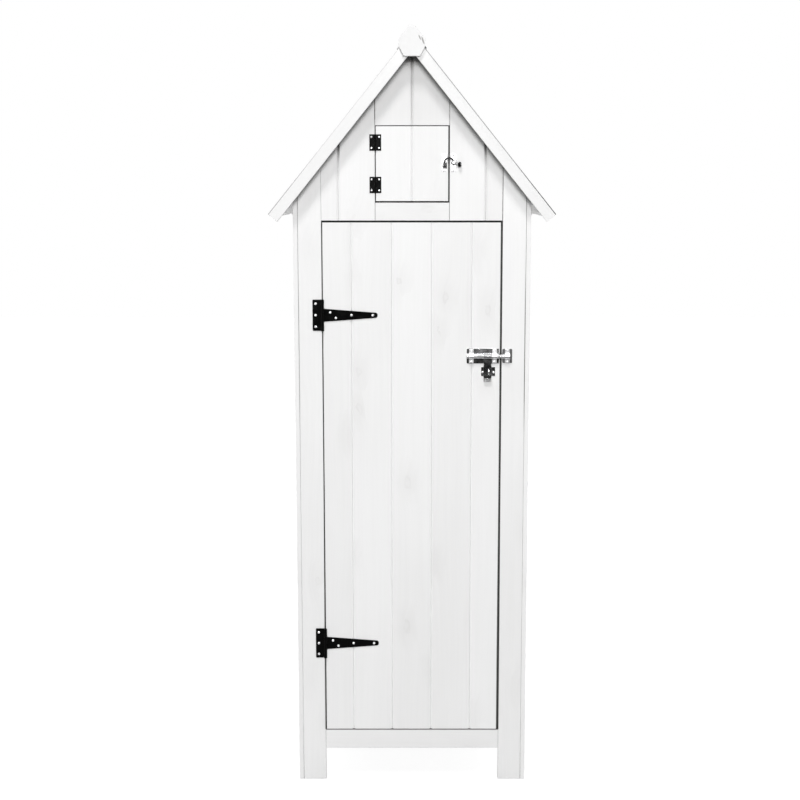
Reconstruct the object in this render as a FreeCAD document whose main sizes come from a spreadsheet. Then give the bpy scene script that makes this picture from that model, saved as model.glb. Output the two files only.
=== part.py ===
import FreeCAD, Part
import os
import re
import Sketcher

# Tall, narrow garden storage cabinet of painted matchboard: a steep felted roof, a ledged door
# on tee hinges with a pad bolt, and a small hatch to the loft on butt hinges with a swing latch.
# Millimetres. X runs to the right of someone facing the door, Y towards the back, Z up.
# The origin lies on the ground, at the centre of the overall footprint.

# Driving sizes

SIZES = {
    # Carcase
    "body_width": 552,
    "body_depth": 450,
    "stile_width": 55,
    "corner_vee": 1.2,
    "front_thickness": 12.5,
    "side_thickness": 10,
    "leg_height": 80.2,
    "bottom_rail_height": 47,
    "batten": 28,
    "jamb_width": 28,
    "plate_gap": 18.42,
    "bearer": 20,
    "joint_gap": 0.4,
    "butt_gap": 0.8,
    "seat_gap": 0.5,
    # Matchboard
    "gable_board_cover": 85.5,
    "gable_right_gap": 1.3,
    "door_board_cover": 94,
    "side_board_cover": 85,
    "narrowest_board": 20,
    "vee_width": 4.5,
    "vee_depth": 3,
    "tongue_length": 4,
    "tongue_thickness": 3,
    "tongue_clearance": 0.25,
    # Floor and shelves
    "floor_thickness": 12,
    "shelf_thickness": 12,
    "lower_shelf_height": 520,
    "middle_shelf_height": 930,
    "deck_board_width": 88,
    "deck_board_gap": 3,
    "shelf_end_gap": 1,
    # Door opening and door
    "door_height": 1231,
    "door_left_gap": 2.7,
    "door_right_gap": 4.8,
    "door_top_gap": 4.5,
    "door_bottom_gap": 1.8,
    "door_stop": 9.5,
    "ledge_height": 70,
    "ledge_thickness": 12,
    "ledge_end_gap": 4,
    # Hatch
    "hatch_roof_gap": 83.14,
    "hatch_gap": 2,
    "hatch_right_gap": 3.2,
    "hatch_bottom_gap": 3.6,
    "hatch_sill_height": 41.1,
    "hatch_stop": 7,
    "hatch_ledge_height": 35,
    "hatch_ledge_thickness": 10,
    "hatch_ledge_inset": 12,
    "hatch_ledge_gap": 4,
    # Roof
    "roof_pitch": 51,
    "eave_overhang": 54.5,
    "roof_board_thickness": 12,
    "roof_board_cover": 88,
    "felt_thickness": 2,
    "front_overhang": 36,
    "rear_overhang": 36,
    "barge_width": 25,
    "barge_thickness": 12,
    # Finial
    "finial_rise": 12,
    "finial_height": 67,
    "finial_width": 61,
    "finial_side": 14,
    "finial_top": 13,
    "finial_foot": 37,
    "finial_thickness": 9,
    # Tee hinges of the door
    "tee_upper_inset": 215.5,
    "tee_lower_inset": 218.6,
    "tee_leaf_width": 23.2,
    "tee_leaf_height": 73,
    "tee_strap_length": 129.2,
    "tee_root_height": 30,
    "tee_tip_height": 11.5,
    "tee_root_length": 6,
    "tee_thickness": 1.8,
    "tee_pin_radius": 2,
    "tee_hole_radius": 2,
    "tee_leaf_screw_in": 16,
    "tee_leaf_screw_step": 27,
    "tee_screw_first": 18.2,
    "tee_screw_second": 31.3,
    "tee_screw_third": 68,
    "tee_screw_stagger": 6.5,
    # Butt hinges of the hatch
    "butt_inset": 36.9,
    "butt_leaf_width": 13.5,
    "butt_height": 37,
    "butt_thickness": 1.2,
    "butt_pin_radius": 1.2,
    # What all hinges share
    "pin_clearance": 0.05,
    "knuckle_gap": 0.4,
    "wood_clearance": 0.3,
    "plate_corner": 2,
    # Pad bolt
    "bolt_inset": 311.5,
    "bolt_edge_inset": 1.7,
    "bolt_plate_width": 76,
    "bolt_plate_height": 35,
    "bolt_plate_thickness": 1.5,
    "rod_radius": 5,
    "rod_end_inset": 0.3,
    "rod_nose": 1,
    "saddle_width": 10.5,
    "saddle_thickness": 1.5,
    "saddle_inset": 5.5,
    "saddle_foot_inset": 1,
    "saddle_clearance": 0.25,
    "keeper_edge_inset": 1.8,
    "keeper_width": 22.5,
    # Hasp tab that hangs from the rod, and the staple behind it
    "tab_inset": 17.4,
    "tab_width": 19,
    "tab_thickness": 2,
    "tab_root": 15,
    "tab_neck_width": 16.5,
    "tab_neck_drop": 20,
    "tab_shoulder_drop": 26,
    "tab_waist_drop": 46,
    "tab_foot_drop": 52,
    "tab_foot_width": 18,
    "tab_lip_drop": 6.5,
    "tab_lip_reach": 4,
    "tab_eye_wall": 1.15,
    "tab_back_gap": 1.5,
    "tab_slot_offset": 3.8,
    "tab_slot_end_gap": 1.25,
    "staple_drop": 36.8,
    "staple_height": 14.5,
    "staple_reach": 16,
    "staple_thickness": 2.5,
    "staple_side_gap": 0.6,
    "staple_slide_gap": 3.1,
    "staple_eye_radius": 3.5,
    "staple_eye_wall": 1.5,
    "staple_plate_width": 33,
    "staple_plate_height": 21,
    "staple_plate_offset": 1.6,
    # Swing latch of the hatch
    "latch_rise": 2.65,
    "latch_plate_width": 11.5,
    "latch_plate_height": 40,
    "latch_plate_thickness": 1.2,
    "latch_plate_inset": 4.5,
    "latch_standoff": 2,
    "latch_lever_thickness": 2,
    "latch_hub_radius": 5,
    "latch_pivot_radius": 1.8,
    "latch_rivet_radius": 3.3,
    "latch_rivet_height": 1.4,
    "latch_arch_radius": 10.6,
    "latch_arm_width": 3.2,
    "latch_finger_drop": 5.5,
    "latch_play": 0.2,
    "latch_horn_reach": 15,
    "latch_horn_drop": 3.7,
    "latch_horn_root": 8,
    "latch_horn_tip": 4,
    "latch_knob_radius": 3,
    "latch_knob_height": 6,
    "catch_wall": 1.4,
    "catch_width": 9.5,
    "catch_lip_height": 6,
    "catch_clearance": 0.5,
}

# Places worked out from the sizes

LAYOUT = {
    # Plan
    "half_body": "body_width / 2",
    "half_inside": "half_body - side_thickness",
    "half_opening": "half_inside - stile_width",
    "half_between_posts": "half_inside - batten",
    "jamb_inside": "half_opening - door_stop",
    "front_face": "(front_overhang + finial_thickness - body_depth - rear_overhang) / 2",
    "front_inside": "front_face + front_thickness",
    "post_back": "front_inside + batten",
    "rear_face": "front_face + body_depth",
    "rear_inside": "rear_face - side_thickness",
    "rear_post_front": "rear_inside - batten",
    "barge_front": "front_face - front_overhang",
    "barge_rear": "rear_face + rear_overhang",
    # Levels from the ground to the top of the walls
    "rail_top": "leg_height + bottom_rail_height",
    "floor_under": "rail_top - floor_thickness",
    "door_bottom": "rail_top + door_bottom_gap",
    "door_top": "door_bottom + door_height",
    "gable_bottom": "door_top + door_top_gap",
    "head_bottom": "door_top - door_stop",
    "head_top": "head_bottom + batten",
    "wall_top": "head_top + plate_gap + batten",
    # Roof
    "rise": "tan(roof_pitch)",
    "under_ridge": "wall_top + half_body * rise",
    "board_ridge": "under_ridge + roof_board_thickness / cos(roof_pitch)",
    "ridge_height": "board_ridge + felt_thickness / cos(roof_pitch)",
    "rafter_drop": "batten / cos(roof_pitch)",
    "roof_half_span": "half_body + eave_overhang",
    "slope_length": "roof_half_span / cos(roof_pitch)",
    "board_slope": "slope_length - felt_thickness * rise",
    # Door and hatch
    "door_left": "door_left_gap - half_opening",
    "door_right": "half_opening - door_right_gap",
    "door_thickness": "front_thickness - seat_gap",
    "door_back": "front_face + door_thickness",
    "sill_top": "gable_bottom + hatch_sill_height",
    "hatch_half": "gable_board_cover - hatch_gap",
    "hatch_opening_left": "-1 * gable_board_cover",
    "hatch_opening_right": "hatch_half + hatch_right_gap",
    "hatch_bottom": "sill_top + hatch_bottom_gap",
    "hatch_top": "under_ridge - hatch_half * rise - hatch_roof_gap",
    "hatch_middle": "(hatch_bottom + hatch_top) / 2",
    "hatch_opening_top": "hatch_top + hatch_gap",
    "trimmer_inside": "hatch_half - hatch_stop",
    # Hinges
    "tee_barrel": "tee_pin_radius + pin_clearance + tee_thickness",
    "tee_offset": "tee_barrel + wood_clearance",
    "tee_axis": "(door_left - half_opening) / 2",
    "tee_upper": "door_top - tee_upper_inset",
    "tee_lower": "door_bottom + tee_lower_inset",
    "butt_barrel": "butt_pin_radius + pin_clearance + butt_thickness",
    "butt_offset": "butt_barrel + wood_clearance",
    "butt_axis": "hatch_gap / 2 - gable_board_cover",
    "butt_upper": "hatch_top - butt_inset",
    "butt_lower": "hatch_bottom + butt_inset",
    # Pad bolt
    "bolt_height": "door_top - bolt_inset",
    "bolt_right": "door_right - bolt_edge_inset",
    "bolt_left": "bolt_right - bolt_plate_width",
    "bolt_plate_front": "front_face - bolt_plate_thickness",
    "saddle_foot": "bolt_plate_height / 2 - saddle_foot_inset",
    "keeper_left": "half_opening + keeper_edge_inset",
    "keeper_saddle_left": "keeper_left + (keeper_width - saddle_width) / 2",
    "rod_right": "keeper_saddle_left + saddle_width - rod_end_inset",
    "tab_eye_radius": "rod_radius + pin_clearance + tab_eye_wall",
    "rod_axis": "bolt_plate_front - wood_clearance - tab_eye_radius",
    "tab_right": "bolt_right - tab_inset",
    "tab_left": "tab_right - tab_width",
    "tab_middle": "tab_right - tab_width / 2",
    "tab_back": "bolt_plate_front - tab_back_gap",
    "slot_width": "staple_side_gap + staple_thickness + staple_slide_gap",
    "slot_left": "tab_middle - slot_width / 2 + tab_slot_offset",
    "staple_left": "slot_left + staple_side_gap",
    "staple_level": "bolt_height - staple_drop",
    "staple_eye": "front_face - staple_reach + staple_eye_wall + staple_eye_radius",
    # Hatch latch
    "latch_height": "hatch_middle + latch_rise",
    "latch_pivot": "gable_board_cover + latch_plate_inset + latch_plate_width / 2",
    "latch_plate_front": "front_face - latch_plate_thickness",
    "lever_back": "latch_plate_front - latch_standoff",
    "lever_front": "lever_back - latch_lever_thickness",
    "arch_middle": "latch_pivot - latch_arch_radius",
    "finger_middle": "latch_pivot - 2 * latch_arch_radius",
    "finger_bottom": "latch_height - latch_finger_drop",
}

doc = FreeCAD.newDocument("garden_storage_cabinet")
sheet = doc.addObject("Spreadsheet::Sheet", "sizes")
layout = doc.addObject("App::VarSet", "layout")
nodes = {}


def bind(text):
    """Point each named size of an expression at the sheet, and each place at the layout."""
    def owner(match):
        word = match.group(0)
        if word in SIZES:
            return "sizes." + word
        return "layout." + word if word in LAYOUT else word
    return re.sub(r"[a-z_]+", owner, str(text))


def value(text):
    """The number that an expression gives."""
    return float(sheet.evalExpression(bind(text)))


def fill_sheet():
    for row, (name, number) in enumerate(SIZES.items(), start=1):
        sheet.set(f"A{row}", name.replace("_", " "))
        sheet.set(f"B{row}", str(number))
        sheet.setAlias(f"B{row}", name)
    doc.recompute()
    for name, text in LAYOUT.items():
        layout.addProperty("App::PropertyFloat", name)
        layout.setExpression(name, bind(text))
    doc.recompute()


def node(label, thing):
    """Name a finished sub-part: its file takes the label."""
    thing.Label = label
    nodes[label] = thing
    return thing


def group(label, things):
    """Several separate pieces that share one node."""
    compound = doc.addObject("Part::Compound", label)
    compound.Links = things
    return node(label, compound)


# Plain timbers, rounds and their joins

def block(label, x, y, z):
    """A squared piece between two corners; x, y and z are each a low and a high expression."""
    piece = doc.addObject("Part::Box", label)
    for size, axis, (low, high) in (("Length", "x", x), ("Width", "y", y), ("Height", "z", z)):
        piece.setExpression(size, bind(f"({high}) - ({low})"))
        piece.setExpression(f"Placement.Base.{axis}", bind(low))
    return piece


TURNS = {
    "x": FreeCAD.Rotation(FreeCAD.Vector(0, 1, 0), 90),
    "y": FreeCAD.Rotation(FreeCAD.Vector(1, 0, 0), -90),
    "z": FreeCAD.Rotation(),
}


def cylinder(label, axis, start, radius, length):
    """A round from its start point along +X, +Y or +Z."""
    piece = doc.addObject("Part::Cylinder", label)
    piece.Placement = FreeCAD.Placement(FreeCAD.Vector(), TURNS[axis])
    piece.setExpression("Radius", bind(radius))
    piece.setExpression("Height", bind(length))
    for name, place in zip("xyz", start):
        piece.setExpression(f"Placement.Base.{name}", bind(place))
    return piece


def fuse(label, things):
    joined = doc.addObject("Part::MultiFuse", label)
    joined.Shapes = things
    return joined


def cut(label, base, tool):
    rest = doc.addObject("Part::Cut", label)
    rest.Base = base
    rest.Tool = tool
    return rest


# Sketched pieces

def new_body(label, place=("0", "0", "0"), axis=(0, 0, 1), angle="0"):
    body = doc.addObject("PartDesign::Body", label)
    body.Placement = FreeCAD.Placement(FreeCAD.Vector(), FreeCAD.Rotation(FreeCAD.Vector(*axis), 1))
    body.setExpression("Placement.Rotation.Angle", bind(angle))
    for name, text in zip("xyz", place):
        body.setExpression(f"Placement.Base.{name}", bind(text))
    return body


def sketch_on(body, role, level="0"):
    """A sketch on the body's own origin plane, moved off it along the body's axis by level."""
    sketch = body.newObject("Sketcher::SketchObject", body.Name + "_sketch")
    plane = next(item for item in body.Origin.OriginFeatures if item.Role == role)
    sketch.AttachmentSupport = [(plane, "")]
    sketch.MapMode = "FlatFace"
    towards = "-" if role == "XZ_Plane" else ""
    sketch.setExpression("AttachmentOffset.Base.z", bind(f"{towards}({level})"))
    return sketch


def polygon(body, role, corners, level="0"):
    """A closed outline whose corners are all placed by expressions."""
    sketch = sketch_on(body, role, level)
    places = [FreeCAD.Vector(value(x), value(y), 0) for x, y in corners]
    for start, end in zip(places, places[1:] + places[:1]):
        sketch.addGeometry(Part.LineSegment(start, end), False)
    for index in range(len(corners)):
        following = (index + 1) % len(corners)
        sketch.addConstraint(Sketcher.Constraint("Coincident", index, 2, following, 1))
    for index, (corner, place) in enumerate(zip(corners, places)):
        for kind, text, number in (("X", corner[0], place.x), ("Y", corner[1], place.y)):
            name = f"corner_{index}_{kind.lower()}"
            constraint = Sketcher.Constraint("Distance" + kind, -1, 1, index, 1, number)
            sketch.renameConstraint(sketch.addConstraint(constraint), name)
            sketch.setExpression("Constraints." + name, bind(text))
    return sketch


def circles(body, role, rounds, level="0"):
    """Circles, each given by its centre and radius as expressions."""
    sketch = sketch_on(body, role, level)
    for index, (x, y, radius) in enumerate(rounds):
        centre = FreeCAD.Vector(value(x), value(y), 0)
        sketch.addGeometry(Part.Circle(centre, FreeCAD.Vector(0, 0, 1), value(radius)), False)
        for kind, text, number in (("DistanceX", x, centre.x), ("DistanceY", y, centre.y)):
            name = f"centre_{index}_{kind[-1].lower()}"
            constraint = Sketcher.Constraint(kind, -1, 1, index, 3, number)
            sketch.renameConstraint(sketch.addConstraint(constraint), name)
            sketch.setExpression("Constraints." + name, bind(text))
        name = f"radius_{index}"
        constraint = Sketcher.Constraint("Radius", index, value(radius))
        sketch.renameConstraint(sketch.addConstraint(constraint), name)
        sketch.setExpression("Constraints." + name, bind(radius))
    return sketch


def pad(body, sketch, length):
    """Raise a sketch along its body's positive axis."""
    feature = body.newObject("PartDesign::Pad", body.Name + "_pad")
    feature.Profile = sketch
    feature.setExpression("Length", bind(length))
    plane = sketch.AttachmentSupport[0][0]
    feature.Reversed = plane.Role == "XZ_Plane"
    doc.recompute()
    return feature


def pocket(body, sketch):
    """Cut a sketch right through its body, both ways."""
    before = body.Shape.Volume
    feature = body.newObject("PartDesign::Pocket", body.Name + "_pocket")
    feature.Profile = sketch
    feature.Type = "ThroughAll"
    feature.Midplane = True
    doc.recompute()
    if body.Shape.Volume >= before:
        raise RuntimeError(f"{feature.Name} cuts nothing from {body.Label}")
    return feature


def fillet(body, radius, chosen):
    """Round the straight edges for which chosen(middle, direction) holds, in the body's frame."""
    tip = body.Tip
    names = []
    for index, edge in enumerate(tip.Shape.Edges, start=1):
        if edge.Curve.TypeId == "Part::GeomLine":
            middle = (edge.Vertexes[0].Point + edge.Vertexes[-1].Point) * 0.5
            if chosen(middle, edge.tangentAt(edge.FirstParameter)):
                names.append(f"Edge{index}")
    feature = body.newObject("PartDesign::Fillet", body.Name + "_fillet")
    feature.Base = (tip, names)
    feature.setExpression("Radius", bind(radius))
    doc.recompute()
    return feature


def rounded_plate(label, x, y, z):
    """A thin upright plate with rounded corners."""
    body = new_body(label, ("0", y[0], "0"))
    outline = [(x[0], z[0]), (x[1], z[0]), (x[1], z[1]), (x[0], z[1])]
    pad(body, polygon(body, "XZ_Plane", outline), f"({y[1]}) - ({y[0]})")
    fillet(body, "plate_corner", lambda middle, along: abs(along.y) > 0.9)
    return body


# Matchboard

def board_outline(left, right, thickness, left_edge, right_edge):
    """Section of a board as (across, depth from its face): a vee and a tongue or a groove.

    A plain edge butts without either, and a mitre is the plumb cut of a roof board at the
    ridge."""
    middle = f"(({thickness}) + vee_depth) / 2"
    tongue_front = f"{middle} - tongue_thickness / 2"
    tongue_back = f"{middle} + tongue_thickness / 2"
    shoulder = f"({right}) - joint_gap / 2"
    lip = f"({left}) + joint_gap / 2"
    vee_right = [(f"{shoulder} - vee_width", "0"), (shoulder, "vee_depth")]
    vee_left = [(lip, "vee_depth"), (f"{lip} + vee_width", "0")]
    right_edges = {
        "square": [(right, "0"), (right, thickness)],
        "plain": [(f"({right}) - butt_gap / 2", "0"), (f"({right}) - butt_gap / 2", thickness)],
        "matched": vee_right + [
            (shoulder, tongue_front), (f"{shoulder} + tongue_length", tongue_front),
            (f"{shoulder} + tongue_length", tongue_back), (shoulder, tongue_back),
            (shoulder, thickness)],
    }
    left_edges = {
        "square": [(left, thickness), (left, "0")],
        "mitre": [(left, thickness), (f"({left}) + ({thickness}) * rise", "0")],
        "plain": [(f"({left}) + butt_gap / 2", thickness), (f"({left}) + butt_gap / 2", "0")],
        "matched": [
            (lip, thickness), (lip, f"{tongue_back} + tongue_clearance"),
            (f"{lip} + tongue_length", f"{tongue_back} + tongue_clearance"),
            (f"{lip} + tongue_length", f"{tongue_front} - tongue_clearance"),
            (lip, f"{tongue_front} - tongue_clearance")] + vee_left,
    }
    return right_edges[right_edge] + left_edges[left_edge]


def board_edges(low, high, cover):
    """Joints of a row of boards: whole boards about the middle and an equal part at each side."""
    span = value(high) - value(low)
    whole = int((span - 2 * value("narrowest_board")) / value(cover))
    middle = f"(({low}) + ({high})) / 2"
    return [low] + [f"{middle} + ({index} - {whole} / 2) * {cover}"
                    for index in range(whole + 1)] + [high]


def roof_cut(body, bottom):
    """Take off what stands above the underside of the roof."""
    reach = "(half_body + batten)"
    peak = f"under_ridge - ({bottom})"
    low = f"{peak} - {reach} * rise"
    high = f"ridge_height + batten - ({bottom})"
    area = [(f"-{reach}", low), ("0", peak), (reach, low), (reach, high), (f"-{reach}", high)]
    pocket(body, polygon(body, "XZ_Plane", area))


def upright(label, outline, bottom, top, place, angle="0", under_roof=False):
    """An upright board from its plan section, in the frame of its wall."""
    body = new_body(label, (place[0], place[1], bottom), angle=angle)
    pad(body, polygon(body, "XY_Plane", outline), f"({top}) - ({bottom})")
    if under_roof:
        roof_cut(body, bottom)
    return body


def wall_boards(label, edges, thickness, bottom, top, place, angle="0", under_roof=False,
                plain=()):
    """A row of matchboards, face outwards, as separate pieces; plain lists untongued joints."""
    kinds = {edge: "plain" if edge in plain else "matched" for edge in edges}
    kinds[edges[0]] = kinds[edges[-1]] = "square"
    boards = []
    for index, (left, right) in enumerate(zip(edges, edges[1:])):
        outline = board_outline(left, right, thickness, kinds[left], kinds[right])
        base = bottom(left, right) if callable(bottom) else bottom
        name = f"{label}_board_{index + 1}"
        boards.append(upright(name, outline, base, top, place, angle, under_roof))
    return boards


# Frames of the four walls: each wall is drawn face outwards and then turned into place

FRONT = (("0", "front_face"), "0")
REAR = (("0", "rear_face"), "180")
LEFT = (("-half_body", "(front_face + rear_face) / 2"), "-90")
RIGHT = (("half_body", "(front_face + rear_face) / 2"), "90")


def strip(left, right, thickness):
    """Plain plan section of a flat board."""
    return [(left, "0"), (right, "0"), (right, thickness), (left, thickness)]


def corner_strip(side, thickness):
    """Plan section of a corner stile on side 1 or -1, whose bevel makes a vee at the corner."""
    inner, outer, bevel = (f"{side} * ({text})" for text in
                           ("half_opening", "half_inside", "half_inside - corner_vee"))
    points = [(inner, "0"), (bevel, "0"), (outer, "corner_vee"), (outer, thickness),
              (inner, thickness)]
    return points if side > 0 else points[::-1]


def front_frame():
    """Stiles that run down as legs, the bottom rail, the gable boards and the sill."""
    for side, hand in (("left", -1), ("right", 1)):
        outline = corner_strip(hand, "front_thickness")
        node(f"front_stile_{side}",
             upright(f"front_stile_{side}", outline, "0", "ridge_height", *FRONT, under_roof=True))
    y = ("front_face", "front_inside")
    inner = ("joint_gap - half_opening", "half_opening - joint_gap")
    node("front_bottom_rail", block("front_bottom_rail", inner, y, ("leg_height", "rail_top")))
    sill = ("hatch_opening_left + joint_gap", "hatch_opening_right - joint_gap")
    node("hatch_sill_rail", block("hatch_sill_rail", sill, y, ("gable_bottom", "sill_top")))

    def gable_base(left, right):
        over_hatch = abs(value(left) + value(right)) / 2 < value("hatch_half")
        return "hatch_opening_top" if over_hatch else "gable_bottom"

    reach = value("half_opening") - value("narrowest_board")
    side_count = int(reach / value("gable_board_cover"))
    joints = [f"{index} * gable_board_cover" for index in range(-side_count, side_count + 1)]
    joints[side_count - 1] = "hatch_opening_left"
    joints[side_count + 1] = "hatch_opening_right"
    edges = [inner[0]] + joints + ["half_opening - gable_right_gap"]
    beside_hatch = ("hatch_opening_left", "hatch_opening_right")
    group("gable_boards", wall_boards("gable", edges, "front_thickness", gable_base,
                                      "ridge_height", *FRONT, under_roof=True,
                                      plain=beside_hatch))


def rafter_pair(label, y):
    """Two rafters with plumb cuts at the ridge and at the side walls."""
    body = new_body(label + "_right", ("0", y, "0"))
    foot = "under_ridge - half_inside * rise"
    outline = [("0", "under_ridge"), ("0", "under_ridge - rafter_drop"),
               ("half_inside", f"{foot} - rafter_drop"), ("half_inside", foot)]
    pad(body, polygon(body, "XZ_Plane", outline), "batten")
    return [body, mirrored(label + "_left", body)]


def mirrored(label, thing):
    """The same piece on the other side of the cabinet's middle plane."""
    twin = doc.addObject("Part::Mirroring", label)
    twin.Source = thing
    twin.Normal = FreeCAD.Vector(1, 0, 0)
    twin.Base = FreeCAD.Vector(0, 0, 0)
    return twin


def frame_battens():
    """Corner posts, door jambs, the head over the door and the frame behind the hatch."""
    front = ("front_inside", "post_back")
    rear = ("rear_post_front", "rear_inside")
    post_top = "under_ridge - half_inside * rise - rafter_drop"
    for place, y in (("front", front), ("rear", rear)):
        x = ("half_between_posts", "half_inside")
        right = block(f"{place}_post_right", x, y, ("0", post_top))
        group(f"{place}_posts", [right, mirrored(f"{place}_post_left", right)])
    x = ("jamb_inside", "jamb_inside + jamb_width")
    right = node("door_jamb_right",
                 block("door_jamb_right", x, front, ("floor_under", "head_bottom")))
    node("door_jamb_left", mirrored("door_jamb_left", right))
    across = ("-half_between_posts", "half_between_posts")
    node("door_head_batten",
         block("door_head_batten", across, front, ("head_bottom", "head_top")))
    outer = "trimmer_inside + batten"
    trimmer_top = f"under_ridge - ({outer}) * rise - rafter_drop"
    right = block("hatch_trimmer_right", ("trimmer_inside", outer), front,
                  ("head_top", trimmer_top))
    inner = ("-trimmer_inside", "trimmer_inside")
    lintel = block("hatch_lintel", inner, front,
                   ("hatch_top - hatch_stop", "hatch_top - hatch_stop + batten"))
    group("hatch_frame", [right, mirrored("hatch_trimmer_left", right), lintel])
    group("rafters", rafter_pair("front_rafter", "front_inside")
          + rafter_pair("rear_rafter", "rear_post_front"))


def side_walls():
    """Side stiles, bottom rails and boards; the side stiles lap the edges of the front ones."""
    half = "body_depth / 2"
    for side, frame in (("left", LEFT), ("right", RIGHT)):
        front = -1 if side == "right" else 1
        stiles = []
        for name, sign in (("front", front), ("rear", -front)):
            ends = [f"{sign} * ({half})", f"{sign} * ({half} - stile_width)"]
            low, high = ends if sign < 0 else ends[::-1]
            outline = strip(low, high, "side_thickness")
            stiles.append(upright(f"side_stile_{side}_{name}", outline, "0", "wall_top", *frame))
        group(f"side_stiles_{side}", stiles)
        inner = (f"stile_width - {half} + joint_gap", f"{half} - stile_width - joint_gap")
        edges = board_edges(*inner, "side_board_cover")
        group(f"side_boards_{side}",
              wall_boards(f"side_{side}", edges, "side_thickness",
                          "rail_top + joint_gap", "wall_top", *frame))
    y = ("front_face + stile_width + joint_gap", "rear_face - stile_width - joint_gap")
    x = ("half_inside", "half_body")
    right = block("side_rail_right", x, y, ("leg_height", "rail_top"))
    group("side_bottom_rails", [right, mirrored("side_rail_left", right)])
    x = ("half_between_posts", "half_inside")
    y = ("post_back", "rear_post_front")
    right = block("wall_plate_right", x, y, ("wall_top - batten", "wall_top"))
    group("wall_plates", [right, mirrored("wall_plate_left", right)])


def rear_wall():
    """The back is framed as the front is, with boards all the way up to the roof."""
    for side, hand in (("right", -1), ("left", 1)):
        outline = corner_strip(hand, "side_thickness")
        node(f"rear_stile_{side}",
             upright(f"rear_stile_{side}", outline, "0", "ridge_height", *REAR, under_roof=True))
    inner = ("joint_gap - half_opening", "half_opening - joint_gap")
    y = ("rear_inside", "rear_face")
    node("rear_bottom_rail", block("rear_bottom_rail", inner, y, ("leg_height", "rail_top")))
    edges = board_edges(*inner, "gable_board_cover")
    group("rear_boards", wall_boards("rear", edges, "side_thickness", "rail_top + joint_gap",
                                     "ridge_height", *REAR, under_roof=True))


def deck(label, top, thickness, front_strip=False):
    """Loose boards across the cabinet between the planes of the posts, and a strip behind."""
    z = (f"({top}) - ({thickness})", top)
    x = ("shelf_end_gap - half_inside", "half_inside - shelf_end_gap")
    low, high = "(post_back + joint_gap)", "(rear_post_front - joint_gap)"
    space = value(high) - value(low)
    count = max(1, round(space / value("deck_board_width + deck_board_gap")))
    width = f"(({high} - {low} + deck_board_gap) / {count} - deck_board_gap)"
    boards = []
    for index in range(count):
        start = f"{low} + {index} * ({width} + deck_board_gap)"
        boards.append(block(f"{label}_board_{index + 1}", x, (start, f"{start} + {width}"), z))
    clear = "(half_between_posts - shelf_end_gap)"
    behind = ("rear_post_front + deck_board_gap", "rear_inside - joint_gap")
    boards.append(block(f"{label}_rear_strip", (f"-{clear}", clear), behind, z))
    if front_strip:
        sill = ("-(jamb_inside - joint_gap)", "jamb_inside - joint_gap")
        before = ("front_inside + joint_gap", "post_back - deck_board_gap")
        boards.append(block(f"{label}_threshold", sill, before, z))
    group(label, boards)


def floor_and_shelves():
    """Battens round the inside at each level, and the boards that lie on them."""
    x = ("half_between_posts", "half_inside")
    along = ("post_back", "rear_post_front")
    across = ("-half_between_posts", "half_between_posts")
    z = ("floor_under - batten", "floor_under")
    right = block("floor_bearer_right", x, along, z)
    front = block("floor_bearer_front", across, ("front_inside", "post_back"), z)
    rear = block("floor_bearer_rear", across, ("rear_post_front", "rear_inside"), z)
    group("floor_bearers", [right, mirrored("floor_bearer_left", right), front, rear])
    deck("floor_boards", "rail_top", "floor_thickness", front_strip=True)
    bearers = []
    for label, top in (("lower_shelf", "lower_shelf_height"),
                       ("middle_shelf", "middle_shelf_height"), ("loft_shelf", "head_top")):
        z = (f"({top}) - shelf_thickness - bearer", f"({top}) - shelf_thickness")
        x = ("half_inside - bearer", "half_inside")
        right = block(f"{label}_bearer_right", x, along, z)
        behind = ("rear_inside - bearer", "rear_inside")
        rear = block(f"{label}_bearer_rear", across, behind, z)
        bearers += [right, mirrored(f"{label}_bearer_left", right), rear]
        deck(label, top, "shelf_thickness")
    group("shelf_bearers", bearers)


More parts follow.
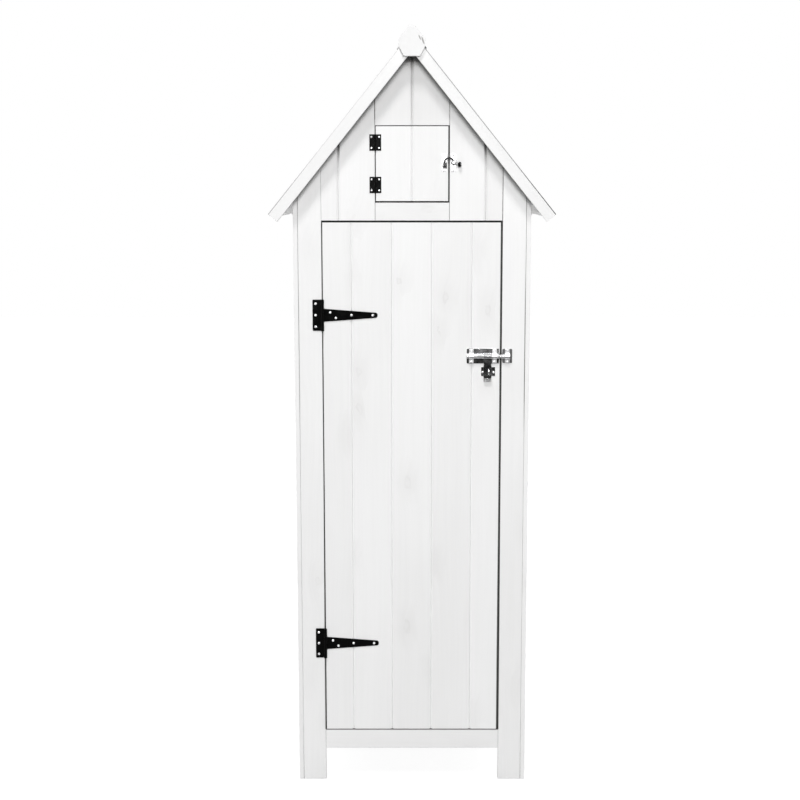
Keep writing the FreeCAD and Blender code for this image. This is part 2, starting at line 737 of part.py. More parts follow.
def roof():
    """Boards along the ridge on each slope, the folded felt, four barge boards and the finial."""
    start = "barge_front + barge_thickness"
    length = f"barge_rear - barge_thickness - ({start})"
    count = max(2, round(value("board_slope / roof_board_cover")))
    thickness = "roof_board_thickness"
    boards = []
    for index in range(count):
        left = f"board_slope * {index} / {count}"
        right = f"board_slope * {index + 1} / {count}"
        kinds = ("mitre" if index == 0 else "matched",
                 "square" if index == count - 1 else "matched")
        section = board_outline(left, right, thickness, *kinds)
        outline = [(across, f"({depth}) - {thickness}") for across, depth in section]
        body = new_body(f"roof_board_{index + 1}", ("0", start, "board_ridge"),
                        axis=(0, 1, 0), angle="roof_pitch")
        pad(body, polygon(body, "XZ_Plane", outline), length)
        boards.append(body)
    right_slope = group("roof_boards_right", boards)
    node("roof_boards_left", mirrored("roof_boards_left", right_slope))

    felt = new_body("roof_felt", ("0", "barge_front", "0"))
    eave = "ridge_height - slope_length * sin(roof_pitch)"
    inner_x = "roof_half_span - felt_thickness * sin(roof_pitch)"
    inner_z = f"{eave} - felt_thickness * cos(roof_pitch)"
    outline = [("0", "ridge_height"), ("roof_half_span", eave), (inner_x, inner_z),
               ("0", "board_ridge"), (f"-({inner_x})", inner_z), ("-roof_half_span", eave)]
    pad(felt, polygon(felt, "XZ_Plane", outline), "barge_rear - barge_front")
    node("roof_felt", felt)

    outline = [("0", "0"), ("board_slope", "0"), ("board_slope", "-barge_width"),
               ("barge_width * rise", "-barge_width")]
    for place, y in (("front", "barge_front"), ("rear", "barge_rear - barge_thickness")):
        board = new_body(f"{place}_barge_right", ("0", y, "board_ridge"),
                         axis=(0, 1, 0), angle="roof_pitch")
        pad(board, polygon(board, "XZ_Plane", outline), "barge_thickness")
        twin = mirrored(f"{place}_barge_left", board)
        if place == "front":
            node("front_barge_right", board)
            node("front_barge_left", twin)
        else:
            group("rear_barge_boards", [board, twin])

    finial = new_body("finial", ("0", "barge_front - finial_thickness",
                                 "ridge_height + finial_rise - finial_height"))
    slant = "(finial_width - finial_top) / 2 * rise"
    shoulder = f"finial_height - {slant}"
    right_half = [("finial_foot / 2", "0"), ("finial_width / 2", f"{shoulder} - finial_side"),
                  ("finial_width / 2", shoulder), ("finial_top / 2", "finial_height")]
    left_half = [(f"-{x}", z) for x, z in reversed(right_half)]
    pad(finial, polygon(finial, "XZ_Plane", right_half + left_half), "finial_thickness")
    node("finial", finial)


def door_and_hatch():
    """Matchboards held by ledges behind them."""
    edges = board_edges("door_left", "door_right", "door_board_cover")
    group("door_boards", wall_boards("door", edges, "door_thickness",
                                     "door_bottom", "door_top", *FRONT))
    reach = "(jamb_inside - ledge_end_gap)"
    y = ("door_back", "door_back + ledge_thickness")
    middle = "(tee_upper + tee_lower) / 2"
    ledges = []
    for name, level in (("top", "tee_upper"), ("middle", middle), ("bottom", "tee_lower")):
        z = (f"{level} - ledge_height / 2", f"{level} + ledge_height / 2")
        ledges.append(block(f"door_ledge_{name}", (f"-{reach}", reach), y, z))
    group("door_ledges", ledges)

    edges = ["-hatch_half", "0", "hatch_half"]
    group("hatch_boards", wall_boards("hatch", edges, "door_thickness",
                                      "hatch_bottom", "hatch_top", *FRONT))
    reach = "(trimmer_inside - hatch_ledge_gap)"
    y = ("door_back", "door_back + hatch_ledge_thickness")
    ledges = []
    for name, low in (("lower", "hatch_bottom + hatch_ledge_inset"),
                      ("upper", "hatch_top - hatch_ledge_inset - hatch_ledge_height")):
        z = (low, f"{low} + hatch_ledge_height")
        ledges.append(block(f"hatch_ledge_{name}", (f"-{reach}", reach), y, z))
    group("hatch_ledges", ledges)


# Hardware

def hinge_plate(label, place, maker, outline, hand, knuckles, holes):
    """A hinge leaf: a flat plate with its rolled knuckles, bored for the pin.

    The frame has its Z axis on the pin; hand is 1 for a plate to the right of it."""
    thickness, barrel, offset = f"{maker}_thickness", f"{maker}_barrel", f"{maker}_offset"
    plate_front = f"{offset} - {thickness}"
    body = new_body(label, place)
    pad(body, polygon(body, "XZ_Plane", outline, plate_front), thickness)
    root = f"{hand} * ({barrel} + 2 * knuckle_gap)"
    for low, high in knuckles:
        web = [("0", plate_front), (root, plate_front), (root, offset), ("0", offset)]
        pad(body, polygon(body, "XY_Plane", web, low), f"({high}) - ({low})")
        pad(body, circles(body, "XY_Plane", [("0", "0", barrel)], low), f"({high}) - ({low})")
    pocket(body, circles(body, "XY_Plane", [("0", "0", f"{maker}_pin_radius + pin_clearance")]))
    if holes:
        pocket(body, circles(body, "XZ_Plane", holes))
    return body


def far_corners(limit):
    """Corners of a plate beyond a distance from the pin, for rounding."""
    def chosen(middle, along):
        return abs(along.y) > 0.9 and abs(middle.x) > limit
    return chosen


def tee_hinges():
    """Upper and lower tee hinge of the door: a leaf on the stile and a tapered strap."""
    leaf_half = "tee_leaf_height / 2"
    root_half = "tee_root_height / 2"
    plate_edge = "tee_barrel + knuckle_gap"
    pins = []
    for name, level in (("upper", "tee_upper"), ("lower", "tee_lower")):
        place = ("tee_axis", "front_face - tee_offset", level)
        outline = [("-tee_leaf_width", f"-{leaf_half}"), (f"-({plate_edge})", f"-{leaf_half}"),
                   (f"-({plate_edge})", leaf_half), ("-tee_leaf_width", leaf_half)]
        holes = [("-tee_leaf_screw_in", f"{step} * tee_leaf_screw_step", "tee_hole_radius")
                 for step in (-1, 0, 1)]
        gap = f"{root_half} + knuckle_gap"
        knuckles = [(f"-{leaf_half}", f"-({gap})"), (gap, leaf_half)]
        leaf = hinge_plate(f"{name}_hinge_leaf", place, "tee", outline, -1, knuckles, holes)
        fillet(leaf, "plate_corner", far_corners(value("tee_leaf_width") - 1))
        node(f"{name}_hinge_leaf", leaf)

        tip_half = "tee_tip_height / 2"
        outline = [("0", f"-{root_half}"), ("tee_root_length", f"-{root_half}"),
                   ("tee_strap_length", f"-{tip_half}"), ("tee_strap_length", tip_half),
                   ("tee_root_length", root_half), ("0", root_half)]
        holes = [(x, z, "tee_hole_radius") for x, z in strap_screws()]
        knuckles = [(f"-{root_half}", root_half)]
        strap = hinge_plate(f"{name}_hinge_strap", place, "tee", outline, 1, knuckles, holes)
        fillet(strap, f"{tip_half} - 0.2", far_corners(value("tee_strap_length") - 1))
        node(f"{name}_hinge_strap", strap)
        pins.append(hinge_pin(f"{name}_tee_pin", "tee", place, "tee_leaf_height"))
    group("door_hinge_pins", pins)


def strap_screws():
    """Screw places of a tee strap, from its pin: two staggered at the root, then two in line."""
    return [("tee_screw_first", "tee_screw_stagger"), ("tee_screw_second", "-tee_screw_stagger"),
            ("tee_screw_third", "0"), ("tee_strap_length - tee_tip_height", "0")]


def hinge_pin(label, maker, place, height):
    start = (place[0], place[1], f"{place[2]} - ({height}) / 2 - knuckle_gap")
    return cylinder(label, "z", start, f"{maker}_pin_radius", f"{height} + 2 * knuckle_gap")


def butt_hinges():
    """Two small hinges of the hatch: the middle knuckle belongs to the leaf that moves."""
    half = "butt_height / 2"
    inner = "butt_barrel + knuckle_gap"
    fixed, moving, pins = [], [], []
    for name, level in (("upper", "butt_upper"), ("lower", "butt_lower")):
        place = ("butt_axis", "front_face - butt_offset", level)
        for hand, leaves in ((-1, fixed), (1, moving)):
            outline = [(f"{hand} * ({inner})", f"-{half}"), (f"{hand} * butt_leaf_width", f"-{half}"),
                       (f"{hand} * butt_leaf_width", half), (f"{hand} * ({inner})", half)]
            third = "butt_height / 6"
            knuckles = ([(f"-{half}", f"-{third} - knuckle_gap"), (f"{third} + knuckle_gap", half)]
                        if hand < 0 else [(f"-{third}", third)])
            label = f"{name}_butt_{'fixed' if hand < 0 else 'moving'}"
            leaves.append(hinge_plate(label, place, "butt", outline, hand, knuckles, []))
        pins.append(hinge_pin(f"{name}_butt_pin", "butt", place, "butt_height"))
    group("hatch_hinge_fixed_leaves", fixed)
    group("hatch_hinge_moving_leaves", moving)
    group("hatch_hinge_pins", pins)


def saddle(label, left):
    """A strap pressed over the rod, with a flat foot above and below."""
    x = (left, f"{left} + saddle_width")
    inner = "(rod_radius + saddle_clearance)"
    outer = f"({inner} + saddle_thickness)"
    feet = block(label + "_feet", x, ("bolt_plate_front - saddle_thickness", "bolt_plate_front"),
                 ("bolt_height - saddle_foot", "bolt_height + saddle_foot"))
    walls = block(label + "_walls", x, ("rod_axis", "bolt_plate_front"),
                  (f"bolt_height - {outer}", f"bolt_height + {outer}"))
    crown = cylinder(label + "_crown", "x", (left, "rod_axis", "bolt_height"), outer, "saddle_width")
    hollow = cylinder(label + "_hollow", "x", (left, "rod_axis", "bolt_height"), inner,
                      "saddle_width")
    channel = block(label + "_channel", x, ("rod_axis", "front_face"),
                    (f"bolt_height - {inner}", f"bolt_height + {inner}"))
    solid = fuse(label + "_solid", [feet, walls, crown])
    return cut(label, solid, fuse(label + "_way", [hollow, channel]))


def pad_bolt():
    """Plate and saddles on the door, the rod, its hasp tab, the staple, and the keeper."""
    half = "bolt_plate_height / 2"
    y = ("bolt_plate_front", "front_face")
    z = (f"bolt_height - {half}", f"bolt_height + {half}")
    node("bolt_plate", rounded_plate("bolt_plate", ("bolt_left", "bolt_right"), y, z))
    left, right = "bolt_left + saddle_inset", "bolt_right - saddle_inset - saddle_width"
    group("bolt_saddles", [saddle("bolt_saddle_left", left), saddle("bolt_saddle_right", right)])

    rod = cylinder("rod_shank", "x", ("bolt_left", "rod_axis", "bolt_height"),
                   "rod_radius", "rod_right - bolt_left - rod_nose")
    nose = doc.addObject("Part::Cone", "rod_nose")
    nose.Placement = FreeCAD.Placement(FreeCAD.Vector(), TURNS["x"])
    nose.setExpression("Radius1", bind("rod_radius"))
    nose.setExpression("Radius2", bind("rod_radius - rod_nose"))
    nose.setExpression("Height", bind("rod_nose"))
    for name, place in zip("xyz", ("rod_right - rod_nose", "rod_axis", "bolt_height")):
        nose.setExpression(f"Placement.Base.{name}", bind(place))
    node("bolt_rod", fuse("bolt_rod", [rod, nose]))

    z = ("bolt_height - saddle_foot", "bolt_height + saddle_foot")
    x = ("keeper_left", "keeper_left + keeper_width")
    plate = rounded_plate("keeper_plate", x, y, z)
    bridge = saddle("keeper_saddle", "keeper_saddle_left")
    node("bolt_keeper", fuse("bolt_keeper", [plate, bridge]))
    hasp_tab()
    staple()


def hasp_tab():
    """A flat tab wrapped round the rod: a neck, a slotted face and an outward lip."""
    tab = new_body("hasp_tab", ("0", "rod_axis", "bolt_height"))
    level = "tab_back - tab_thickness - rod_axis"
    half = [("tab_width / 2", "0"), ("tab_width / 2", "-tab_root"),
            ("tab_neck_width / 2", "-tab_neck_drop"), ("tab_width / 2", "-tab_shoulder_drop"),
            ("tab_width / 2", "-tab_waist_drop"), ("tab_foot_width / 2", "-tab_foot_drop")]
    outline = [(f"tab_middle + {x}", z) for x, z in half]
    outline += [(f"tab_middle - {x}", z) for x, z in reversed(half)]
    pad(tab, polygon(tab, "XZ_Plane", outline, level), "tab_thickness")
    waist = (value("-tab_neck_drop"), value("-tab_shoulder_drop"), value("-tab_waist_drop"))
    fillet(tab, "plate_corner",
           lambda middle, along: abs(along.y) > 0.9 and min(abs(middle.z - z) for z in waist) < 0.1)
    foot, front = "-tab_foot_drop", f"({level})"
    lip = [(f"{front} + tab_thickness", f"{foot} + tab_thickness"),
           (front, f"{foot} + tab_thickness"), (front, foot),
           (f"{front} - tab_lip_reach", f"{foot} - tab_lip_drop"),
           (f"{front} - tab_lip_reach + tab_thickness", f"{foot} - tab_lip_drop"),
           (f"{front} + tab_thickness", foot)]
    start = "tab_middle - tab_foot_width / 2"
    pad(tab, polygon(tab, "YZ_Plane", lip, start), "tab_foot_width")
    eye = circles(tab, "YZ_Plane", [("0", "0", "tab_eye_radius")], "tab_left")
    pad(tab, eye, "tab_width")
    pocket(tab, circles(tab, "YZ_Plane", [("0", "0", "rod_radius + pin_clearance")]))
    slot_half = "(staple_height / 2 + tab_slot_end_gap)"
    slot_top, slot_foot = f"{slot_half} - staple_drop", f"-{slot_half} - staple_drop"
    slot = [("slot_left", slot_foot), ("slot_left + slot_width", slot_foot),
            ("slot_left + slot_width", slot_top), ("slot_left", slot_top)]
    pocket(tab, polygon(tab, "XZ_Plane", slot))
    node("hasp_tab", tab)


def staple():
    """Plate with a standing eye for a padlock, which comes through the slot of the tab."""
    half_width, half_height = "staple_plate_width / 2", "staple_plate_height / 2"
    centre = "tab_middle + staple_plate_offset"
    x = (f"{centre} - {half_width}", f"{centre} + {half_width}")
    z = (f"staple_level - {half_height}", f"staple_level + {half_height}")
    plate = block("staple_plate", x, ("bolt_plate_front", "front_face"), z)
    ear_half = "staple_height / 2"
    nose = f"front_face - staple_reach + {ear_half}"
    ear = block("staple_ear", ("staple_left", "staple_left + staple_thickness"),
                (nose, "bolt_plate_front"),
                (f"staple_level - {ear_half}", f"staple_level + {ear_half}"))
    crown = cylinder("staple_crown", "x", ("staple_left", nose, "staple_level"), ear_half,
                     "staple_thickness")
    eye = cylinder("staple_eye", "x", ("staple_left", "staple_eye", "staple_level"),
                   "staple_eye_radius", "staple_thickness")
    node("bolt_staple", cut("bolt_staple", fuse("staple_blank", [plate, ear, crown]), eye))


def hatch_latch():
    """Pivot plate on the gable, the arched lever and, on the hatch, the catch for its finger."""
    half = "latch_plate_height / 2"
    y = ("latch_plate_front", "front_face")
    z = (f"latch_height - {half}", f"latch_height + {half}")
    width = "latch_plate_width / 2"
    x = (f"latch_pivot - {width}", f"latch_pivot + {width}")
    plate = block("latch_pivot_plate", x, y, z)
    boss = cylinder("latch_boss", "y", ("latch_pivot", "lever_back + latch_play", "latch_height"),
                    "latch_rivet_radius", "latch_standoff - latch_play")
    stem = cylinder("latch_stem", "y", ("latch_pivot", "lever_front - latch_play", "latch_height"),
                    "latch_pivot_radius", "latch_plate_front - lever_front + latch_play")
    head = cylinder("latch_head", "y",
                    ("latch_pivot", "lever_front - latch_play - latch_rivet_height",
                     "latch_height"),
                    "latch_rivet_radius", "latch_rivet_height")
    node("latch_plate", fuse("latch_plate", [plate, boss, stem, head]))
    latch_lever()

    z_middle = "finger_bottom - catch_clearance"
    x = (f"finger_middle - {width}", f"finger_middle + {width}")
    plate = block("catch_plate", x, y, z)
    wide = ("finger_middle - catch_width / 2", "finger_middle + catch_width / 2")
    lip_front = "lever_front - catch_clearance - catch_wall"
    shelf = block("catch_shelf", wide, (lip_front, "latch_plate_front"),
                  (f"{z_middle} - catch_wall", z_middle))
    lip = block("catch_lip", wide, (lip_front, f"{lip_front} + catch_wall"),
                (f"{z_middle} - catch_wall", f"{z_middle} + catch_lip_height - catch_wall"))
    node("latch_catch", fuse("latch_catch", [plate, shelf, lip]))


def latch_lever():
    """A hub, an arch over the gap that ends in a finger, and a horn with a knob."""
    y, deep = "lever_front", "latch_lever_thickness"
    inner = "latch_arch_radius - latch_arm_width / 2"
    outer = "latch_arch_radius + latch_arm_width / 2"
    centre = ("arch_middle", y, "latch_height")
    ring = cut("lever_ring", cylinder("lever_ring_outer", "y", centre, outer, deep),
               cylinder("lever_ring_inner", "y", centre, inner, deep))
    lower = block("lever_ring_lower", (f"arch_middle - ({outer})", f"arch_middle + {outer}"),
                  (y, f"{y} + {deep}"), (f"latch_height - ({outer})", "latch_height"))
    arch = cut("lever_arch", ring, lower)
    finger = block("lever_finger",
                   ("finger_middle - latch_arm_width / 2", "finger_middle + latch_arm_width / 2"),
                   (y, f"{y} + {deep}"), ("finger_bottom", "latch_height"))
    hub = cylinder("lever_hub", "y", ("latch_pivot", y, "latch_height"), "latch_hub_radius", deep)
    horn = new_body("lever_horn", ("latch_pivot", y, "latch_height"))
    tip = "latch_horn_reach"
    outline = [("0", "latch_horn_root / 2"), ("0", "-latch_horn_root / 2"),
               (tip, "-latch_horn_drop - latch_horn_tip / 2"),
               (tip, "latch_horn_tip / 2 - latch_horn_drop")]
    pad(horn, polygon(horn, "XZ_Plane", outline), deep)
    knob = cylinder("lever_knob", "y",
                    ("latch_pivot + latch_horn_reach", f"{y} - latch_knob_height",
                     "latch_height - latch_horn_drop"),
                    "latch_knob_radius", f"latch_knob_height + {deep}")
    solid = fuse("lever_solid", [arch, finger, hub, horn, knob])
    bore = cylinder("lever_bore", "y", ("latch_pivot", y, "latch_height"),
                    "latch_pivot_radius + pin_clearance", deep)
    node("latch_lever", cut("latch_lever", solid, bore))


def check_and_write():
    doc.recompute()
    for thing in doc.Objects:
        if "Invalid" in thing.State or "Error" in thing.State:
            raise RuntimeError(f"{thing.Label} did not compute: {thing.State}")
    for label, thing in nodes.items():
        shape = thing.Shape
        if shape.isNull() or not shape.isValid() or not shape.Solids:
            raise RuntimeError(f"{label} has no valid shape")
    os.makedirs("parts", exist_ok=True)
    for label, thing in nodes.items():
        thing.Shape.exportStep(f"parts/{label}.step")
    print(f"{len(nodes)} nodes,", sum(len(thing.Shape.Solids) for thing in nodes.values()), "solids")


fill_sheet()
front_frame()
frame_battens()
side_walls()
rear_wall()
floor_and_shelves()
roof()
door_and_hatch()
tee_hinges()
butt_hinges()
pad_bolt()
hatch_latch()
check_and_write()
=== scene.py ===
from math import cos, pi, radians, sin

import bpy
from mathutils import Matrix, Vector


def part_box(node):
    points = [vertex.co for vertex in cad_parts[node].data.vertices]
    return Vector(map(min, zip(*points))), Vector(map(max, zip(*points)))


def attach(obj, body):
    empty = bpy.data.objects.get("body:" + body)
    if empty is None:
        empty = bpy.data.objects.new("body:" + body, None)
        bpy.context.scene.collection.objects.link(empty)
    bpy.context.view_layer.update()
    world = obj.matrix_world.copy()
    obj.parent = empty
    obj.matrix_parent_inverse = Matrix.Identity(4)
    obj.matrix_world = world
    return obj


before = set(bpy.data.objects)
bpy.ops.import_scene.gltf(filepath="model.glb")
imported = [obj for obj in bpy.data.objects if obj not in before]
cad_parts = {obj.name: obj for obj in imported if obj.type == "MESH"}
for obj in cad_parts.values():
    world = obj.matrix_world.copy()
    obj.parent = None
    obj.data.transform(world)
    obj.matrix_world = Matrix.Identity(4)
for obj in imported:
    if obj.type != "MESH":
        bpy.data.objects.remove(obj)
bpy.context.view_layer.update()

# Looks of the garden storage cabinet, and the small fasteners and the strip of felt that its
# solids leave out. Metres, in the part's own frame: the door faces -Y and Z is up.

scene = bpy.context.scene
scene.view_settings.view_transform = "Standard"

# Places on the solids
PITCH = radians(51)
RIDGE_Z = 1.788  # the fold of the felt
BARGE_LINE = 1.0982  # |x| sin(PITCH) + z cos(PITCH) along the front barge boards' lower edges
FELT_FRONT, FELT_BACK = -0.2560, 0.2650
FELT_SLOPE = 0.3305 / cos(PITCH)  # from the fold down to the eaves
SIDE_FACE = 0.276  # outer face of the side boards
STILE_EDGE = 0.211  # the front stiles' edges beside the door
STILE_VEE = 0.2634  # where the vee between front and side stiles begins
GABLE_JOINTS = (-0.0855, -0.0010, 0.0862)  # those over the hatch
TEE_LEVELS = (1.1445, 0.3476)  # the door's hinges
BUTT_LEVELS = (1.54265, 1.4461)  # the hatch's hinges
BOLT_Z = 1.0485  # the rod's axis
KEEPER_X = 0.22405  # middle of the keeper
HASP_LIP_Z = 0.9975  # top of the lip at the foot of the tab
LATCH_Z = 1.497  # middle of the latch's plates
LATCH_FINGER_X = 0.0992  # the lever's finger reaches left from here

# Faces that carry the heads of screws
TEE_FACE = -0.2223
BUTT_FACE = -0.2217
BOLT_FACE = -0.2235
STAPLE_FACE = -0.222


# Node helpers

def feed(tree, socket, value):
    """A socket takes a link from another node's socket, or a plain value."""
    if isinstance(value, bpy.types.NodeSocket):
        tree.links.new(value, socket)
    else:
        socket.default_value = value


def add_node(tree, kind, inputs, **settings):
    """A node with its settings and inputs."""
    node = tree.nodes.new(kind)
    for key, value in settings.items():
        setattr(node, key, value)
    for key, value in inputs.items():
        feed(tree, node.inputs[key], value)
    return node


def add(tree, kind, inputs, out=0, **settings):
    """One output socket of a new node."""
    return add_node(tree, kind, inputs, **settings).outputs[out]


def calc(tree, operation, first, second=0.0, clamp=False):
    return add(tree, "ShaderNodeMath", {0: first, 1: second}, operation=operation,
               use_clamp=clamp)


def chain(tree, operation, first, *others):
    """One operation over several values in turn."""
    for value in others:
        first = calc(tree, operation, first, value)
    return first


def weighted(tree, *terms, clamp=False):
    """Sum of values, each times its weight. Clamp is for weights that aren't negative."""
    total, *others = [calc(tree, "MULTIPLY", value, weight) for value, weight in terms]
    for term in others:
        total = calc(tree, "ADD", total, term, clamp)
    return total


def ramp(tree, value, low, high, to_low=0.0, to_high=1.0):
    """Smooth step of a value from one range to another."""
    return add(tree, "ShaderNodeMapRange",
               {0: value, 1: low, 2: high, 3: to_low, 4: to_high}, interpolation_type="SMOOTHSTEP")


def blend_colour(tree, factor, first, second):
    """Mix of two colours."""
    return add(tree, "ShaderNodeMix", {0: factor, 6: first, 7: second}, out=2, data_type="RGBA")


def grey(level, warmth=0.0):
    return (level, level * (1 - 0.5 * warmth), level * (1 - warmth), 1)


def object_point(tree):
    """The place on the object, which stays with its surface as a body moves."""
    return add(tree, "ShaderNodeTexCoord", {}, out=3)


def axes_of(tree, point):
    outputs = add_node(tree, "ShaderNodeSeparateXYZ", {0: point}).outputs
    return {"X": outputs[0], "Y": outputs[1], "Z": outputs[2]}


def noise(tree, vector, scale, detail=3.0, roughness=0.5):
    return add(tree, "ShaderNodeTexNoise",
               {"Vector": vector, "Scale": scale, "Detail": detail, "Roughness": roughness})


def drawn_noise(tree, vector, scales, detail, roughness=0.5):
    """Noise with a scale of its own along each axis."""
    stretched = add(tree, "ShaderNodeVectorMath", {0: vector, 1: scales}, operation="MULTIPLY")
    return noise(tree, stretched, 1.0, detail, roughness)


def cells(tree, vector, scale, **settings):
    """Voronoi cells: the distance to the middle of one, and a random number for each."""
    outputs = add_node(tree, "ShaderNodeTexVoronoi", {"Vector": vector, "Scale": scale},
                       **settings).outputs
    return outputs[0], add(tree, "ShaderNodeSeparateColor", {0: outputs[1]})


def rounded_edges(tree, radius):
    """The normal with softened edges, and a mask of how near an edge is."""
    soft = add(tree, "ShaderNodeBevel", {"Radius": radius}, samples=4)
    plain = add(tree, "ShaderNodeNewGeometry", {}, out=1)
    dot = add(tree, "ShaderNodeVectorMath", {0: soft, 1: plain}, out=1, operation="DOT_PRODUCT")
    return soft, ramp(tree, dot, 0.995, 0.86)


def bump(tree, strength, distance, height, **inputs):
    return add(tree, "ShaderNodeBump",
               {"Strength": strength, "Distance": distance, "Height": height, **inputs})


def start_material(name):
    material = bpy.data.materials.new(name)
    material.use_nodes = True
    tree = material.node_tree
    tree.nodes.clear()
    return material, tree


def add_output(tree, shader, kind="ShaderNodeOutputMaterial"):
    add_node(tree, kind, {0: shader})


def finish_material(tree, colour, normal, roughness, **sockets):
    """The shader at the end of a material's nodes."""
    inputs = {"Base Color": colour, "Normal": normal, "Roughness": roughness}
    inputs.update({key.replace("_", " "): value for key, value in sockets.items()})
    add_output(tree, add(tree, "ShaderNodeBsdfPrincipled", inputs))


# Painted wood

BARE_EDGE = grey(0.62, 0.12)
# The colour of the marks: dirt and dark joints, and painted shade where a mark stands for it
DIRT_AND_SHADE = grey(0.3, 0.05)
# Painted shade: colours that darken corners, joints and gaps, where shade falls
PAINTED_CORNER_SHADE = grey(0.09, 0.05)
PAINTED_DEEP_SHADE = grey(0.015, 0.1)


def off_slope(tree, axes):
    """The height of a place square to the roof's slope."""
    return weighted(tree, (calc(tree, "ABSOLUTE", axes["X"]), sin(PITCH)),
                    (axes["Z"], cos(PITCH)))


def wood_axes(tree, point, sloped):
    """X, Y and Z, and for boards on the roof S down the slope and L square to it, which also
    sets the two slopes apart."""
    axes = axes_of(tree, point)
    if sloped:
        down = weighted(tree, (calc(tree, "ABSOLUTE", axes["X"]), cos(PITCH)),
                        (axes["Z"], -sin(PITCH)))
        hand = calc(tree, "MULTIPLY", calc(tree, "SIGN", axes["X"]), 3.1)
        axes["S"] = calc(tree, "ADD", down, RIDGE_Z * sin(PITCH))
        axes["L"] = calc(tree, "ADD", off_slope(tree, axes), hand)
    return axes


def knots_in(tree, wide, long, waver):
    """Knots strewn over the boards: how much knot a place is, and how near it is to one. Half
    of the cells, which are 100 mm wide and 185 mm long, hold one."""
    place = add(tree, "ShaderNodeCombineXYZ",
                {0: weighted(tree, (wide, 10.0), (waver, 0.16)),
                 1: weighted(tree, (long, 5.4), (waver, -0.24))})
    distance, chance = cells(tree, place, 1.0, voronoi_dimensions="2D")
    here = ramp(tree, chance, 0.50, 0.56)
    size = ramp(tree, chance, 0.50, 1.0, 0.0001, 0.1101)
    inside = calc(tree, "SUBTRACT", 1.0, calc(tree, "DIVIDE", distance, size), clamp=True)
    knots = chain(tree, "MULTIPLY", ramp(tree, inside, 0.0, 0.35),
                  ramp(tree, inside, 0.35, 0.85, 1.0, 0.35), here,
                  ramp(tree, waver, 0.42, 0.60, 0.45, 1.0))
    return knots, calc(tree, "MULTIPLY", ramp(tree, distance, 0.40, 0.05), here)


def painted_shade_in(tree, axes, reach, onset, shade_map):
    """Masks of the painted shade in the corners and of the darker painted shade deep in the
    joints.
    """
    closer, shade_kept, deep_shade_kept = shade_map(tree, axes) if shade_map else (1.0, 1.0, 1.0)
    open_to = add(tree, "ShaderNodeAmbientOcclusion", {"Distance": reach}, out=1, samples=8)
    painted_shade = ramp(tree, calc(tree, "MULTIPLY", open_to, closer), onset, 0.36, 0.0, 0.92)
    deep_shade = ramp(tree, open_to, 0.38, 0.15)
    return calc(tree, "MULTIPLY", painted_shade, shade_kept), calc(tree, "MULTIPLY", deep_shade, deep_shade_kept)


